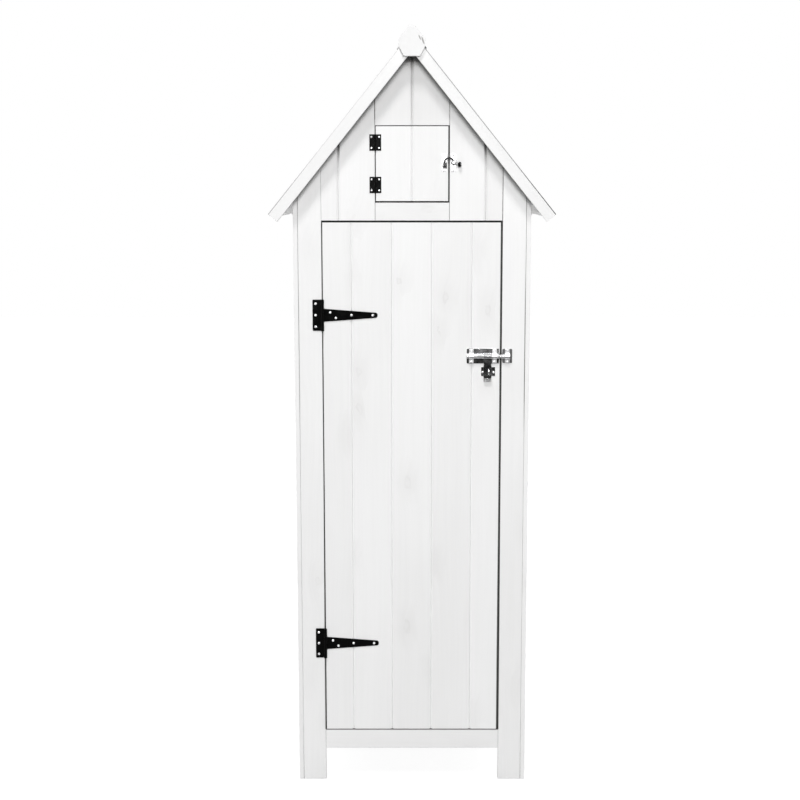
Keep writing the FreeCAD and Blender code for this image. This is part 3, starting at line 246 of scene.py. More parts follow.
def painted_wood(name, level=0.90, along="Z", across="X", cover=0.0, origin=0.0, sloped=False,
                 coarse=1.0, knotty=0.6, vee_highlight=0.0, marks=None, reach=0.03, onset=0.60,
                 shade_map=None):
    """Brushed white paint over softwood: the grain runs along one axis, and each board of a
    given cover width, counted from the origin, has its own grain and tone. Sloped wood lies
    on the roof. Coarse and knotty are the strengths of the grain and of the knots; the vees
    between the boards get a painted highlight of the given strength, which makes their faces
    paler. Marks says where dirt, dark joints and painted shade are. Painted shade darkens the
    joints and corners that are narrower than reach, where less than onset of the view out is
    open; a shade map says how much of it stays at a place."""
    material, tree = start_material(name)
    point = object_point(tree)
    axes = wood_axes(tree, point, sloped)
    through = next(axis for axis in ("SLY" if sloped else "XYZ") if axis not in (along, across))
    wide, long, deep = axes[across], axes[along], axes[through]
    tone = 0.5
    if cover:
        # Each board is cut from another place in the wood
        index = calc(tree, "FLOOR",
                     calc(tree, "DIVIDE", calc(tree, "SUBTRACT", wide, origin), cover))
        tone = add(tree, "ShaderNodeTexWhiteNoise", {"W": index}, noise_dimensions="1D")
        long = calc(tree, "ADD", long, calc(tree, "MULTIPLY", tone, 7.0))
        deep = calc(tree, "ADD", deep, calc(tree, "MULTIPLY", index, 0.37))
    grain = add(tree, "ShaderNodeCombineXYZ", {0: wide, 1: deep, 2: long})

    # The grain bends round the knots
    waver = drawn_noise(tree, grain, (60, 60, 34), 2.0)
    knots, halo = knots_in(tree, wide, long, waver)
    drift = drawn_noise(tree, grain, (5, 5, 1.4), 2.0)
    aside = weighted(tree, (drift, 0.05), (halo, 0.014))
    bent = add(tree, "ShaderNodeVectorMath",
               {0: grain, 1: add(tree, "ShaderNodeCombineXYZ", {0: aside})}, operation="ADD")
    rings = drawn_noise(tree, bent, (150, 150, 3.0), 4.0, 0.62)
    fibres = drawn_noise(tree, grain, (1300, 1300, 26), 2.0, 0.6)
    strokes = drawn_noise(tree, grain, (420, 420, 7), 3.0, 0.7)
    broad = drawn_noise(tree, grain, (3.2, 3.2, 1.1), 3.0, 0.55)

    dull = weighted(tree, (ramp(tree, rings, 0.3, 0.72), 0.14 * coarse),
                    (ramp(tree, broad, 0.36, 0.66), 0.28), (fibres, 0.06 * coarse),
                    (tone, 0.13), (halo, 0.26 * knotty), (knots, 0.42 * knotty), clamp=True)
    colour = blend_colour(tree, dull, grey(level), grey(level * 0.86, 0.01))
    # Faces turned sideways, among them the faces of the vees, are made paler: a painted highlight
    if vee_highlight:
        facing = axes_of(tree, add(tree, "ShaderNodeTexCoord", {}, out=1))["X"]
        vee = ramp(tree, calc(tree, "ABSOLUTE", facing), 0.2, 0.5, 0.0, vee_highlight)
        colour = blend_colour(tree, vee, colour, grey(1.0))
    soft, edge = rounded_edges(tree, 0.0011)
    rubbed = ramp(tree, noise(tree, point, 28.0, 4.0, 0.7), 0.56, 0.72, 0.0, 0.5)
    colour = blend_colour(tree, calc(tree, "MULTIPLY", edge, rubbed), colour, BARE_EDGE)
    if marks:
        colour = blend_colour(tree, marks(tree, axes), colour, DIRT_AND_SHADE)
    # Painted shade in the corners and joints, darkest deep in the gaps
    painted_shade, deep_shade = painted_shade_in(tree, axes, reach, onset, shade_map)
    colour = blend_colour(tree, painted_shade, colour, PAINTED_CORNER_SHADE)
    colour = blend_colour(tree, deep_shade, colour, PAINTED_DEEP_SHADE)

    height = weighted(tree, (rings, 0.55), (fibres, 0.22 * coarse), (strokes, 0.30),
                      (knots, -0.35 * knotty))
    normal = bump(tree, 0.35 * coarse, 0.0004, height, Normal=soft)
    roughness = calc(tree, "ADD", calc(tree, "MULTIPLY", strokes, 0.16), 0.40 + 0.08 * coarse)
    finish_material(tree, colour, normal, roughness)
    return material


# Where painted shade stays on painted wood. Each shade map gives three factors for a place:
# on how open it is, on the painted shade that its corners keep, and on the painted shade
# that its deep joints keep.

def under_eaves(tree, axes):
    """The gable: most of the painted shade stays just under the barge boards."""
    drop = calc(tree, "SUBTRACT", BARGE_LINE, off_slope(tree, axes))
    return ramp(tree, drop, 0.0, 0.05, 0.92, 1.0), ramp(tree, drop, 0.0, 0.035, 1.0, 0.6), 1.0


def corner_posts(tree, axes):
    """The uprights: painted shade stays under the barge boards, and in their outer seams it
    fades further down, but for the feet, while the sides of the door opening stay dark. Near
    the floor the painted shade in the corners fades out."""
    closer, shade_kept, _ = under_eaves(tree, axes)
    outer = ramp(tree, calc(tree, "ABSOLUTE", axes["X"]), 0.235, 0.245)
    shade_by_height = ramp(tree, axes["Z"], 0.75, 1.05, 0.30, 1.0)
    off_floor = ramp(tree, axes["Z"], 0.015, 0.06)
    feet = ramp(tree, axes["Z"], 0.100, 0.075)

    def on_outer(factor):
        """A factor on the outer seams alone."""
        lost = calc(tree, "SUBTRACT", 1.0, factor)
        return calc(tree, "SUBTRACT", 1.0, calc(tree, "MULTIPLY", outer, lost))

    shade_kept = calc(tree, "MULTIPLY", on_outer(calc(tree, "MULTIPLY", shade_kept, shade_by_height)), off_floor)
    return closer, shade_kept, on_outer(calc(tree, "MAXIMUM", shade_by_height, feet))


def panel_edges(left, right, low, high, joints):
    """A panel of boards: its painted shade stays full at its outer edges, and only the given
    share of it stays in the joints between its boards."""
    def shade_map(tree, axes):
        edge = chain(tree, "MAXIMUM", *(
            ramp(tree, axes[axis], place + 0.006 * inward, place + 0.003 * inward)
            for axis, place, inward in (("X", left, 1), ("X", right, -1),
                                        ("Z", low, 1), ("Z", high, -1))))
        shade_kept = ramp(tree, edge, 0.0, 1.0, joints, 1.0)
        return 1.0, shade_kept, shade_kept
    return shade_map


def box_of(node):
    """Left, right, foot and top of a solid."""
    low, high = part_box(node)
    return low[0], high[0], low[2], high[2]


# Marks on painted wood

def on_front(tree, axes):
    """1 on the front of the cabinet, and 0 behind it."""
    return ramp(tree, axes["Y"], -0.15, -0.2)


def gable_marks(tree, axes):
    """Dark joints over the hatch, up to the barge boards, and painted shade near the ridge."""
    joints = chain(tree, "MAXIMUM", *(
        ramp(tree, calc(tree, "ABSOLUTE", calc(tree, "SUBTRACT", axes["X"], x)),
             0.0014, 0.0006, 0.0, strength)
        for x, strength in zip(GABLE_JOINTS, (1.0, 0.3, 0.35))))
    joints = calc(tree, "MULTIPLY", joints, ramp(tree, axes["Z"], 1.590, 1.600))
    # Painted shade, darker towards the ridge
    dull = calc(tree, "ADD", ramp(tree, axes["Z"], 1.48, 1.66, 0.0, 0.16),
                ramp(tree, axes["Z"], 1.69, 1.73, 0.0, 0.2))
    return calc(tree, "MULTIPLY", calc(tree, "ADD", joints, dull, clamp=True),
                on_front(tree, axes))


def darker_arris(tree, axes, inward, width):
    """A darker strip along an arris, from nothing at 0.9 m up to its full width near the floor;
    inward is how far a place is from the arris."""
    reached = ramp(tree, axes["Z"], 0.90, 0.25, 0.0, width)
    return ramp(tree, calc(tree, "SUBTRACT", inward, reached), 0.0, -0.0003)


def stile_marks(tree, axes):
    """Marks on the front stiles: dark outer seams at the height of the bolt, most of it on the
    right, and a darker strip beside the lower half of the door."""
    seams, arrises = [], []
    for side, strength, width in ((1, 1.0, 0.0011), (-1, 0.35, 0.0017)):
        outward = calc(tree, "MULTIPLY", axes["X"], side)
        seams.append(ramp(tree, outward, STILE_VEE, STILE_VEE + 0.0012, 0.0, strength))
        inward = calc(tree, "SUBTRACT", outward, STILE_EDGE)
        arrises.append(calc(tree, "MULTIPLY", ramp(tree, outward, 0.19, 0.20),
                            darker_arris(tree, axes, inward, width)))
    by_bolt = chain(tree, "MULTIPLY", chain(tree, "MAXIMUM", *seams),
                    ramp(tree, axes["Z"], 0.84, 0.98), ramp(tree, axes["Z"], 1.30, 1.12))
    by_door = calc(tree, "MULTIPLY", chain(tree, "MAXIMUM", *arrises),
                   ramp(tree, axes["Z"], 0.127, 0.130))
    return calc(tree, "MULTIPLY", calc(tree, "MAXIMUM", by_bolt, by_door), on_front(tree, axes))


def door_marks(tree, axes):
    """A darker strip along the opening edge of the door, wider towards its foot."""
    inward = calc(tree, "SUBTRACT", box_of("door_boards")[1], axes["X"])
    return calc(tree, "MULTIPLY", darker_arris(tree, axes, inward, 0.0011),
                ramp(tree, axes["Y"], -0.205, -0.215))


def rail_marks(tree, axes):
    """A line of painted shade along the top arris of the bottom rail, under the door."""
    return calc(tree, "MULTIPLY", ramp(tree, axes["Z"], 0.1256, 0.1266, 0.0, 0.8),
                ramp(tree, axes["Z"], 0.1300, 0.1290))


def finial_marks(tree, axes):
    """Two short dark streaks by the finial's right-hand shoulder."""
    streaks = []
    for x, z, lean, half_length, half_width in ((0.0174, 1.7735, -0.42, 0.0062, 0.0020),
                                                (0.0245, 1.7668, -0.34, 0.0094, 0.0024)):
        dx = calc(tree, "SUBTRACT", axes["X"], x)
        dz = calc(tree, "SUBTRACT", axes["Z"], z)
        off = calc(tree, "SUBTRACT", dx, calc(tree, "MULTIPLY", dz, lean))
        off = calc(tree, "DIVIDE", off, half_width)
        far = calc(tree, "DIVIDE", dz, half_length)
        reach = weighted(tree, (off, off), (far, far))
        streaks.append(ramp(tree, reach, 1.3, 0.2, 0.0, 0.85))
    return chain(tree, "MAXIMUM", *streaks)


# Metals and felt

def powder_coat(name):
    """Black powder coat: orange peel, and slight rubbing on the edges."""
    material, tree = start_material(name)
    point = object_point(tree)
    soft, edge = rounded_edges(tree, 0.0005)
    peel = noise(tree, point, 1500.0, 2.0)
    cloud = noise(tree, point, 45.0, 3.0, 0.6)
    rubbed = ramp(tree, noise(tree, point, 120.0), 0.5, 0.7, 0.0, 0.3)
    colour = blend_colour(tree, cloud, grey(0.0015), grey(0.004))
    colour = blend_colour(tree, calc(tree, "MULTIPLY", edge, rubbed), colour, grey(0.05, 0.1))
    finish_material(tree, colour, bump(tree, 0.15, 0.0002, peel, Normal=soft),
                    ramp(tree, cloud, 0.3, 0.7, 0.20, 0.30), Specular_IOR_Level=0.06)
    return material


def zinc(name, level=0.80, roughness=0.08, grain=1.0, darkening=None, dark_level=0.03):
    """Bright zinc plate: soft spangle, fine drawing lines, a little white bloom in places. A mask
    says how much of a place is darkened, and a level how bright it is there."""
    material, tree = start_material(name)
    point = object_point(tree)
    soft, edge = rounded_edges(tree, 0.0004)
    _, flake = cells(tree, point, 260.0)
    lines = drawn_noise(tree, point, (160, 2400, 2400), 2.0, 0.6)
    cloud = noise(tree, point, 70.0, 4.0, 0.6)
    bloom = ramp(tree, cloud, 0.58, 0.74, 0.0, 0.35)
    colour = blend_colour(tree, calc(tree, "MULTIPLY", flake, 0.35 * grain),
                          (level, level, level * 1.01, 1), grey(level * 0.72))
    colour = blend_colour(tree, bloom, colour, grey(0.60))
    colour = blend_colour(tree, calc(tree, "MULTIPLY", edge, 0.4), colour, grey(0.9))
    if darkening:
        colour = blend_colour(tree, darkening(tree, axes_of(tree, point)), colour, grey(dark_level))
    height = weighted(tree, (lines, 0.6), (cloud, 0.8))
    cloudy = ramp(tree, cloud, 0.3, 0.75, roughness, roughness + 0.10)
    finish_material(tree, colour, bump(tree, 0.07, 0.0002, height, Normal=soft),
                    weighted(tree, (cloudy, 1.0), (flake, 0.04)), Metallic=1.0)
    return material


def beyond(*steps):
    """Darker colour between places on the axes: each step is an axis, where it starts, where it
    is full and how full it is there."""
    def darkening(tree, axes):
        return chain(tree, "MULTIPLY", *(ramp(tree, axes[axis], start, end, 0.0, most)
                                         for axis, start, end, most in steps))
    return darkening


def keeper_flanges(tree, axes):
    """Painted dark reflection on both sides of the keeper's bright strap."""
    off = calc(tree, "ABSOLUTE", calc(tree, "SUBTRACT", axes["X"], KEEPER_X))
    return ramp(tree, off, 0.0050, 0.0060, 0.0, 0.80)


def mineral_felt(name):
    """Charcoal roofing felt: crushed stone chips pressed into bitumen, bald in places. White
    paint laps over its front edge, less of it towards the eaves; that it is paler on the left
    than on the right is painted light."""
    material, tree = start_material(name)
    point = object_point(tree)
    distance, chance = cells(tree, point, 620.0)
    patch = noise(tree, point, 9.0, 4.0, 0.6)
    bald = ramp(tree, noise(tree, point, 60.0, 3.0, 0.7), 0.62, 0.74)
    colour = blend_colour(tree, chance, grey(0.045), grey(0.19))
    colour = blend_colour(tree, calc(tree, "MULTIPLY", patch, 0.5), colour, grey(0.07))
    colour = blend_colour(tree, bald, colour, grey(0.025))
    axes = axes_of(tree, point)
    # The pale front edge: lapped white paint, and painted light that is brighter on the left
    lap_and_light = calc(tree, "MULTIPLY",
               ramp(tree, axes["Y"], FELT_FRONT + 0.0005, FELT_FRONT - 0.0002),
               ramp(tree, axes["X"], -0.05, 0.05, 0.90, 0.42))
    fade_to_eaves = ramp(tree, calc(tree, "ABSOLUTE", axes["X"]), 0.20, 0.32, 0.0, 0.42)
    colour = blend_colour(tree, calc(tree, "SUBTRACT", lap_and_light, fade_to_eaves, clamp=True), colour,
                          grey(0.85))
    height = calc(tree, "SUBTRACT", calc(tree, "SUBTRACT", 1.0, distance),
                  calc(tree, "MULTIPLY", bald, 0.6))
    finish_material(tree, colour, bump(tree, 0.8, 0.0006, height),
                    ramp(tree, chance, 0.0, 1.0, 0.78, 0.95))
    return material


MATERIALS = {
    "upright": painted_wood("paint_upright", reach=0.04, onset=0.66, shade_map=corner_posts,
                            marks=stile_marks),
    "gable": painted_wood("paint_gable", cover=0.0855, reach=0.045, onset=0.66,
                          shade_map=under_eaves, marks=gable_marks),
    "door": painted_wood("paint_door", cover=0.094, origin=0.0461, onset=0.48, knotty=1.0,
                         shade_map=panel_edges(*box_of("door_boards"), 0.15), vee_highlight=0.3,
                         marks=door_marks),
    "hatch": painted_wood("paint_hatch", cover=0.0855, reach=0.045, onset=0.66,
                          shade_map=panel_edges(*box_of("hatch_boards"), 0.45), vee_highlight=0.3),
    "level": painted_wood("paint_level", along="X", across="Z", onset=0.78, marks=rail_marks),
    "slope": painted_wood("paint_slope", along="S", across="L", sloped=True),
    "roof": painted_wood("paint_roof", along="Y", across="S", cover=0.0872, sloped=True,
                         coarse=1.4, reach=0.006),
    "side": painted_wood("paint_side", across="Y", cover=0.085, origin=0.0045),
    "side_upright": painted_wood("paint_side_upright", across="Y", reach=0.07,
                                 shade_map=corner_posts),
    "side_level": painted_wood("paint_side_level", along="Y", across="Z"),
    "finial": painted_wood("paint_finial", level=0.86, marks=finial_marks, knotty=0.0),
    "inner_upright": painted_wood("inner_upright", level=0.84, coarse=2.0),
    "inner_level": painted_wood("inner_level", level=0.84, along="X", across="Z", coarse=2.0),
    "inner_deep": painted_wood("inner_deep", level=0.84, along="Y", across="X", coarse=2.0),
    "inner_deck": painted_wood("inner_deck", level=0.84, along="X", across="Y", cover=0.091,
                               coarse=2.0),
    "inner_slope": painted_wood("inner_slope", level=0.84, along="S", across="L", sloped=True,
                                coarse=2.0),
    "felt": mineral_felt("roof_felt"),
    "black": powder_coat("black_powder_coat"),
    "zinc": zinc("zinc_plate"),
    # The plate is darker below the rod: painted dark reflection
    "plate": zinc("plate_zinc", roughness=0.14,
                  darkening=beyond(("Z", BOLT_Z, BOLT_Z - 0.0040, 0.85))),
    "strap": zinc("strap_zinc", level=0.85, roughness=0.30),
    "keeper": zinc("keeper_zinc", level=0.85, roughness=0.24, darkening=keeper_flanges),
    # Below its middle the catch is darker: painted dark reflection and painted shade
    "catch": zinc("catch_zinc", level=0.60, roughness=0.26,
                  darkening=beyond(("X", 0.0712, 0.0722, 1.0),
                                 ("Z", LATCH_Z - 0.0144, LATCH_Z - 0.0132, 1.0),
                                 ("Z", LATCH_Z + 0.0010, LATCH_Z - 0.0002, 0.95))),
    "bloomed": zinc("bloomed_zinc", level=0.60, roughness=0.26),
    # The lip at the foot of the tab is darker: painted shade that dims the lamp's reflection on it
    "tab": zinc("tab_steel", level=0.48, roughness=0.10, dark_level=0.13,
                darkening=beyond(("Z", HASP_LIP_Z, HASP_LIP_Z - 0.0007, 1.0))),
    # The lever's finger is darker
    "lever": zinc("lever_steel", level=0.55, roughness=0.14,
                  darkening=beyond(("X", LATCH_FINGER_X, LATCH_FINGER_X - 0.0020, 0.98))),
    "screw": zinc("screw_zinc", level=0.92, roughness=0.26, grain=0.4),
    "nail": zinc("galvanised_nails", level=0.32, roughness=0.42),
}

FINISH = {
    "upright": ("front_stile_left", "front_stile_right", "rear_stile_left", "rear_stile_right"),
    "gable": ("gable_boards", "rear_boards"),
    "hatch": ("hatch_boards",),
    "door": ("door_boards",),
    "level": ("front_bottom_rail", "hatch_sill_rail", "rear_bottom_rail"),
    "slope": ("front_barge_left", "front_barge_right", "rear_barge_boards"),
    "roof": ("roof_boards_left", "roof_boards_right"),
    "side": ("side_boards_left", "side_boards_right"),
    "side_upright": ("side_stiles_left", "side_stiles_right"),
    "side_level": ("side_bottom_rails",),
    "finial": ("finial",),
    "inner_upright": ("front_posts", "rear_posts", "door_jamb_left", "door_jamb_right"),
    "inner_level": ("door_head_batten", "door_ledges", "hatch_ledges", "hatch_frame"),
    "inner_deep": ("wall_plates", "shelf_bearers", "floor_bearers"),
    "inner_deck": ("floor_boards", "lower_shelf", "middle_shelf", "loft_shelf"),
    "inner_slope": ("rafters",),
    "felt": ("roof_felt",),
    "black": ("upper_hinge_leaf", "upper_hinge_strap", "lower_hinge_leaf", "lower_hinge_strap",
              "door_hinge_pins", "hatch_hinge_fixed_leaves", "hatch_hinge_moving_leaves",
              "hatch_hinge_pins"),
    "zinc": ("bolt_rod", "bolt_staple"),
    "plate": ("bolt_plate",),
    "strap": ("bolt_saddles",),
    "keeper": ("bolt_keeper",),
    "catch": ("latch_catch",),
    "tab": ("hasp_tab",),
    "bloomed": ("latch_plate",),
    "lever": ("latch_lever",),
}
for finish, names in FINISH.items():
    for name in names:
        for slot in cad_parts[name].material_slots:
            slot.material = MATERIALS[finish]


# Pieces

def new_object(name, data):
    thing = bpy.data.objects.new(name, data)
    scene.collection.objects.link(thing)
    return thing


def new_mesh(name, vertices, faces, material):
    mesh = bpy.data.meshes.new(name)
    mesh.from_pydata(vertices, [], faces)
    mesh.update()
    mesh.materials.append(material)
    return mesh


def make_piece(name, vertices, faces, finish, body):
    """A mesh piece with its finish, and the body that carries it."""
    mesh = new_mesh(name, vertices, faces, MATERIALS[finish])
    for polygon in mesh.polygons:
        polygon.use_smooth = True
    piece = new_object(name, mesh)
    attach(piece, body)


def circle(radius, around):
    """Corners of a circle round the origin."""
    return [(radius * cos(2 * pi * corner / around), radius * sin(2 * pi * corner / around))
            for corner in range(around)]


def add_dome(vertices, faces, points, around, flip=False):
    """Adds a dome to a mesh: the points are its crown and then its rings from there outwards,
    and the last ring is closed."""
    crown = len(vertices)
    vertices += points
    starts = range(crown + 1, len(vertices), around)
    turned = [(crown, starts[0] + corner, starts[0] + (corner + 1) % around)
              for corner in range(around)]
    for low, high in zip(starts, starts[1:]):
        for corner in range(around):
            after = (corner + 1) % around
            turned.append((low + corner, high + corner, high + after, low + after))
    turned.append(tuple(starts[-1] + corner for corner in reversed(range(around))))
    faces += [face[::-1] for face in turned] if flip else turned


def smooth_step(value):
    """The same for plain numbers as ramp is for sockets, from 0 to 1."""
    value = min(1.0, max(0.0, value))
    return value * value * (3 - 2 * value)


# Screw heads

HEAD_REACHES = (0.1, 0.2, 0.3, 0.4, 0.5, 0.6, 0.7, 0.8, 0.9, 0.97, 1.0)
HEAD_CORNERS = 40
RECESS = 0.55  # depth of the cross, of the head's height


def screw_head(x0, y0, z0, radius, height, turn):
    """Points of a domed head with a cross recess, its crown towards -Y."""
    def crown(x, z, level):
        u = abs(x * cos(turn) + z * sin(turn)) / radius
        v = abs(z * cos(turn) - x * sin(turn)) / radius
        cross = smooth_step((0.15 - min(u, v)) / 0.06) * smooth_step((0.66 - max(u, v)) / 0.14)
        return level - RECESS * height * cross

    points = [(0, 0, crown(0, 0, height))]
    for reach in HEAD_REACHES:
        level = height * (1 - 0.62 * reach ** 2.4)
        points += [(x, z, crown(x, z, level)) for x, z in circle(radius * reach, HEAD_CORNERS)]
    for reach, level in ((radius, height * 0.18), (radius * 0.97, -0.00008)):
        points += [(x, z, level) for x, z in circle(reach, HEAD_CORNERS)]
    return [(x0 + x, y0 - level, z0 + z) for x, z, level in points]


def screws(name, places, face, radius, height, body):
    """Screw heads at (x, z) on a face that looks towards -Y; each is turned differently."""
    vertices, faces = [], []
    for index, (x, z) in enumerate(places):
        head = screw_head(x, face, z, radius, height, 0.35 + 2.4 * index)
        add_dome(vertices, faces, head, HEAD_CORNERS)
    make_piece(name, vertices, faces, "screw", body)


def spread(xs, levels, *shifts):
    """Places at each level and x, moved up and down by the shifts."""
    return [(x, level + shift) for level in levels for x in xs for shift in shifts]


STRAP_SCREWS = ((-0.19145, 0.0065), (-0.17835, -0.0065), (-0.14165, 0.0), (-0.09195, 0.0))

screws("tee_leaf_screws", spread((-0.22565,), TEE_LEVELS, -0.027, 0.0, 0.027),
       TEE_FACE, 0.0029, 0.0011, "cabinet")
screws("tee_strap_screws",
       [(x, level + shift) for level in TEE_LEVELS for x, shift in STRAP_SCREWS],
       TEE_FACE, 0.0029, 0.0011, "door")
screws("butt_fixed_screws", spread((-0.0933,), BUTT_LEVELS, -0.0125, 0.0125),
       BUTT_FACE, 0.0021, 0.0007, "cabinet")
screws("butt_moving_screws", spread((-0.0757,), BUTT_LEVELS, -0.0125, 0.0125),
       BUTT_FACE, 0.0021, 0.0007, "hatch")
screws("bolt_saddle_screws", spread((0.13925, 0.19375), (BOLT_Z,), -0.0133, 0.0133),
       BOLT_FACE, 0.0027, 0.0010, "door")
screws("bolt_keeper_screws", spread((KEEPER_X,), (BOLT_Z,), -0.0133, 0.0133),
       BOLT_FACE, 0.0027, 0.0010, "cabinet")
screws("bolt_staple_screws", ((0.1662, 1.0102), (0.1922, 1.0102)),
       STAPLE_FACE, 0.0026, 0.0009, "door")
screws("latch_plate_screws", spread((0.09575,), (LATCH_Z,), -0.0165, 0.0165),
       BUTT_FACE, 0.0024, 0.0009, "cabinet")
screws("latch_catch_screws", spread((0.07455,), (LATCH_Z,), -0.0165, 0.0165),
       BUTT_FACE, 0.0024, 0.0009, "hatch")


def latch_knob():
    """An egg-shaped cap of black plastic over the end of the latch lever."""
    x0, y0, z0 = 0.1100, -0.2247, 1.4927
    half_width, half_height, length = 0.0041, 0.0058, 0.0079
    profile = ((0.0077, 0.32), (0.0071, 0.62), (0.0060, 0.86), (0.0046, 1.0), (0.0030, 1.04),
               (0.0014, 1.0), (0.0004, 0.92), (0.0, 0.80))
    around = 32
    points = [(x0, y0 - length, z0)]
    for out, width in profile:
        points += [(x0 + half_width * u, y0 - out, z0 + half_height * v)
                   for u, v in circle(width, around)]
    vertices, faces = [], []
    add_dome(vertices, faces, points, around)
    make_piece("latch_knob_cap", vertices, faces, "black", "latch")


latch_knob()


# Roof details: a strip of felt over the ridge, lapped on both slopes, and clout nails

def on_slope(side, down, y, lift):
    """A point on the felt: side -1 or 1, distance down the slope, and height above it."""
    x = down * cos(PITCH) + lift * sin(PITCH)
    z = RIDGE_Z - down * sin(PITCH) + lift * cos(PITCH)
    return side * x, y, z


def ridge_strip():
    """A folded strip of felt over the ridge, with slightly wavy lower edges and a soft fold."""
    reach, thickness, sag = 0.0495, 0.0022, 0.000525
    rows = 60
    half = (0.1, 0.22, 0.4, 0.6, 0.8, 0.97, 1.0)
    across = [-place for place in reversed(half)] + [0.0, *half]
    top, under = [], []
    for row in range(rows + 1):
        y = FELT_FRONT + (FELT_BACK - FELT_FRONT) * row / rows
        for place in across:
            side = 1 if place >= 0 else -1
            width = reach + 0.0016 * sin(37 * y + side) + 0.0009 * sin(91 * y + 2 * side)
            down = abs(place) * width
            ripple = 0.0005 * sin(63 * y + 5 * place) + 0.0004 * sin(140 * y - 3 * place)
            lift = 0.0004 + (0.0006 + ripple) * smooth_step(abs(place) * 1.4)
            for points, level in ((top, lift + thickness), (under, lift)):
                x, _, z = on_slope(side, down, y, level)
                if place == 0.0:
                    x, z = 0.0, RIDGE_Z + level * 1.25
                points.append((x, y, z - sag * (1 - smooth_step(down / 0.012))))
    columns = len(across)
    base = len(top)
    faces = []
    for row in range(rows):
        for column in range(columns - 1):
            a = row * columns + column
            b, c, d = a + 1, a + columns + 1, a + columns
            faces.append((a, b, c, d))
            faces.append((base + d, base + c, base + b, base + a))
        left, right = row * columns, (row + 1) * columns - 1
        faces.append((left, left + columns, base + left + columns, base + left))
        faces.append((right + columns, right, base + right, base + right + columns))
    for column in range(columns - 1):
        front, back = column, rows * columns + column
        faces.append((front + 1, front, base + front, base + front + 1))
        faces.append((back, back + 1, base + back + 1, base + back))
    make_piece("felt_ridge_strip", top + under, faces, "felt", "cabinet")


ridge_strip()


def clout_nails(places, radius=0.0034, height=0.0009, around=18):
    """Flat nail heads on the felt at (side, down the slope, y, height above the felt)."""
    vertices, faces = [], []
    for side, down, y, lift in places:
        points = [on_slope(side, down, y, lift + height)]
        for reach, level in ((0.35, 1.0), (0.75, 0.92), (0.96, 0.66), (1.0, 0.3), (1.0, -0.25)):
            points += [on_slope(side, down + u, y + v, lift + height * level)
                       for u, v in circle(radius * reach, around)]
        add_dome(vertices, faces, points, around, flip=side > 0)
    make_piece("felt_nails", vertices, faces, "nail", "cabinet")


# Along the eaves, along the ridge strip, and up the front and back edges
nails = []
for side in (-1, 1):
    for place in range(8):
        nails.append((side, FELT_SLOPE - 0.018, -0.238 + place * 0.4845 / 7, 0.0))
    for place in range(6):
        nails.append((side, 0.038, -0.205 + place * 0.4285 / 5, 0.0034))
    for y in (-0.246, 0.255):
        for place in range(4):
            nails.append((side, 0.125 + place * 0.1, y, 0.0))
clout_nails(nails)


# Painted-over heads of the nails that fix the side boards

NAIL_LEVELS = (0.105, 0.498, 0.918, 1.411)
NAIL_ROWS = (-0.207, -0.180, -0.145, -0.062, -0.020, 0.065, 0.105, 0.150, 0.189, 0.216)


def side_nails(name, side, radius=0.0019, height=0.00022, around=14):
    """Low painted domes on one side of the cabinet: side is -1 or 1."""
    vertices, faces = [], []
    for y, z in [(y, z) for z in NAIL_LEVELS for y in NAIL_ROWS]:
        points = [(side * (SIDE_FACE + height), y, z)]
        for reach, level in ((0.5, 0.9), (0.85, 0.55), (1.0, 0.1), (1.0, -0.3)):
            points += [(side * (SIDE_FACE + height * level), y + u, z + v)
                       for u, v in circle(radius * reach, around)]
        add_dome(vertices, faces, points, around, flip=side < 0)
    make_piece(name, vertices, faces, "upright", "cabinet")


side_nails("side_pin_heads_left", -1)
side_nails("side_pin_heads_right", 1)


# Camera, floor and light

camera_data = bpy.data.cameras.new("camera")
camera = new_object("camera", camera_data)
camera.location = (0, -3.5205, 1.4457)
camera.rotation_euler = (radians(90 - 8.65), 0, 0)
camera_data.sensor_width = 36
camera_data.lens = 63.558
camera_data.shift_x = -0.015
scene.camera = camera

WHITE = grey(1.0)
AMBIENT = 0.10
FLOOR_REACH = 12.0


def shown_rays(tree):
    """1 for camera, glossy and transmission rays, 0 for the rays that light the object."""
    path = tree.nodes.new("ShaderNodeLightPath")
    total = calc(tree, "ADD", path.outputs["Is Camera Ray"], path.outputs["Is Glossy Ray"])
    return calc(tree, "ADD", total, path.outputs["Is Transmission Ray"], clamp=True)


world = bpy.data.worlds.new("studio")
scene.world = world
world.use_nodes = True
tree = world.node_tree
tree.nodes.clear()
light = add(tree, "ShaderNodeBackground", {0: WHITE, 1: AMBIENT})
seen = add(tree, "ShaderNodeBackground", {0: WHITE, 1: 1.0})
add_output(tree, add(tree, "ShaderNodeMixShader", {0: shown_rays(tree), 1: light, 2: seen}),
           "ShaderNodeOutputWorld")


def stage_plane(name, corners, material):
    plane = new_object(name, new_mesh(name, corners, [(0, 1, 2, 3)], material))
    return plane


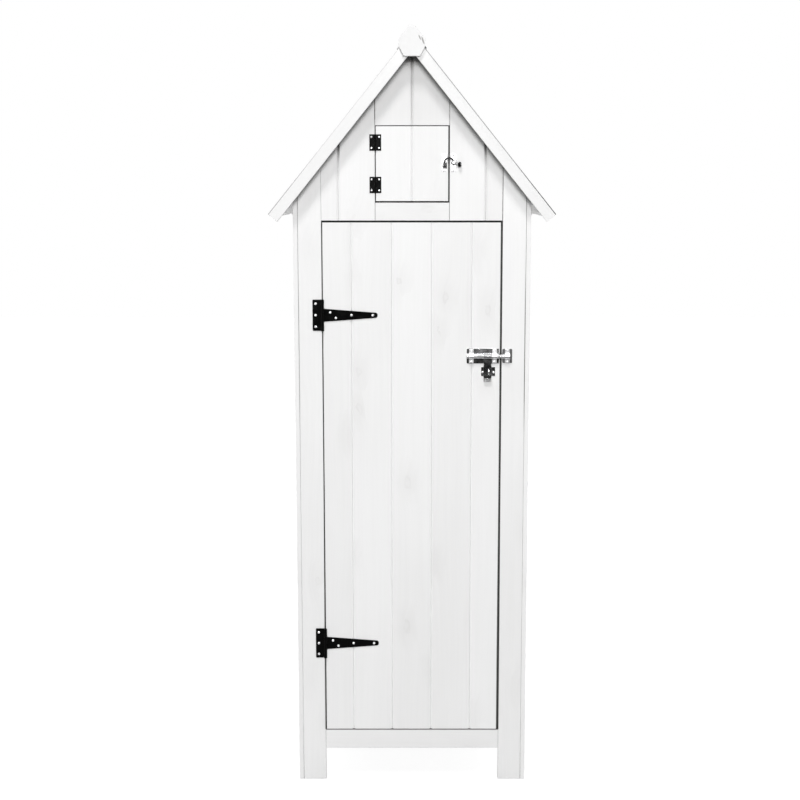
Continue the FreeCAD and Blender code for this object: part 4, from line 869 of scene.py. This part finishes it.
# The floor is white to the camera and a plain grey to the rays that light the object
floor_material, tree = start_material("studio_floor")
pale = add(tree, "ShaderNodeBsdfDiffuse", {0: grey(0.35)})
faint = add(tree, "ShaderNodeBsdfDiffuse", {0: grey(0.13)})
away = add(tree, "ShaderNodeVectorMath", {0: object_point(tree)}, out=1, operation="LENGTH")
glow = add(tree, "ShaderNodeEmission", {0: WHITE, 1: ramp(tree, away, 1.6, 5.5, 0.93, 1.0)})
shown = add(tree, "ShaderNodeAddShader", {0: faint, 1: glow})
add_output(tree, add(tree, "ShaderNodeMixShader", {0: shown_rays(tree), 1: pale, 2: shown}))
stage_plane("studio_floor", [(FLOOR_REACH * x, FLOOR_REACH * y, -0.0005)
                             for x, y in ((-1, -1), (1, -1), (1, 1), (-1, 1))], floor_material)

# For the metal to reflect: a dark flag behind the camera, and a dim card before the door
flag_material, tree = start_material("studio_flag")
add_output(tree, add(tree, "ShaderNodeBsdfDiffuse", {0: grey(0.012)}))
card_material, tree = start_material("studio_card")
add_output(tree, add(tree, "ShaderNodeEmission", {0: grey(0.22), 1: 1.0}))
flag = stage_plane("studio_flag", [(-3.0, -4.2, 0.0), (3.4, -4.2, 0.0), (3.4, -4.2, 2.5),
                                   (-3.0, -4.2, 2.5)], flag_material)
card = stage_plane("studio_card", [(-1.6, -4.2, 0.001), (1.6, -4.2, 0.001), (1.6, -0.5, 0.001),
                                   (-1.6, -0.5, 0.001)], card_material)
for prop in (flag, card):
    prop.visible_camera = False
    prop.visible_diffuse = False
    prop.visible_shadow = False


def area_light(name, place, target, width, height, power):
    data = bpy.data.lights.new(name, "AREA")
    data.shape = "RECTANGLE"
    data.size = width
    data.size_y = height
    data.energy = power
    lamp = new_object(name, data)
    lamp.location = place
    direction = Vector(target) - Vector(place)
    lamp.rotation_euler = direction.to_track_quat("-Z", "Y").to_euler()
    lamp.visible_camera = False


area_light("front", (0.3, -7.5, 3.2), (0, -0.2, 0.9), 2.8, 1.0, 311.0)
area_light("key", (-0.80, -4.7, 8.2), (0, -0.2, 1.2), 1.6, 1.8, 333.0)
area_light("left", (-4.6, 0.6, 3.0), (0, 0, 0.9), 2.0, 2.0, 180.0)
area_light("right", (4.6, 0.6, 3.0), (0, 0, 0.9), 2.0, 2.0, 180.0)
area_light("rear", (0, 5.2, 3.4), (0, 0.2, 0.9), 2.2, 2.2, 230.0)
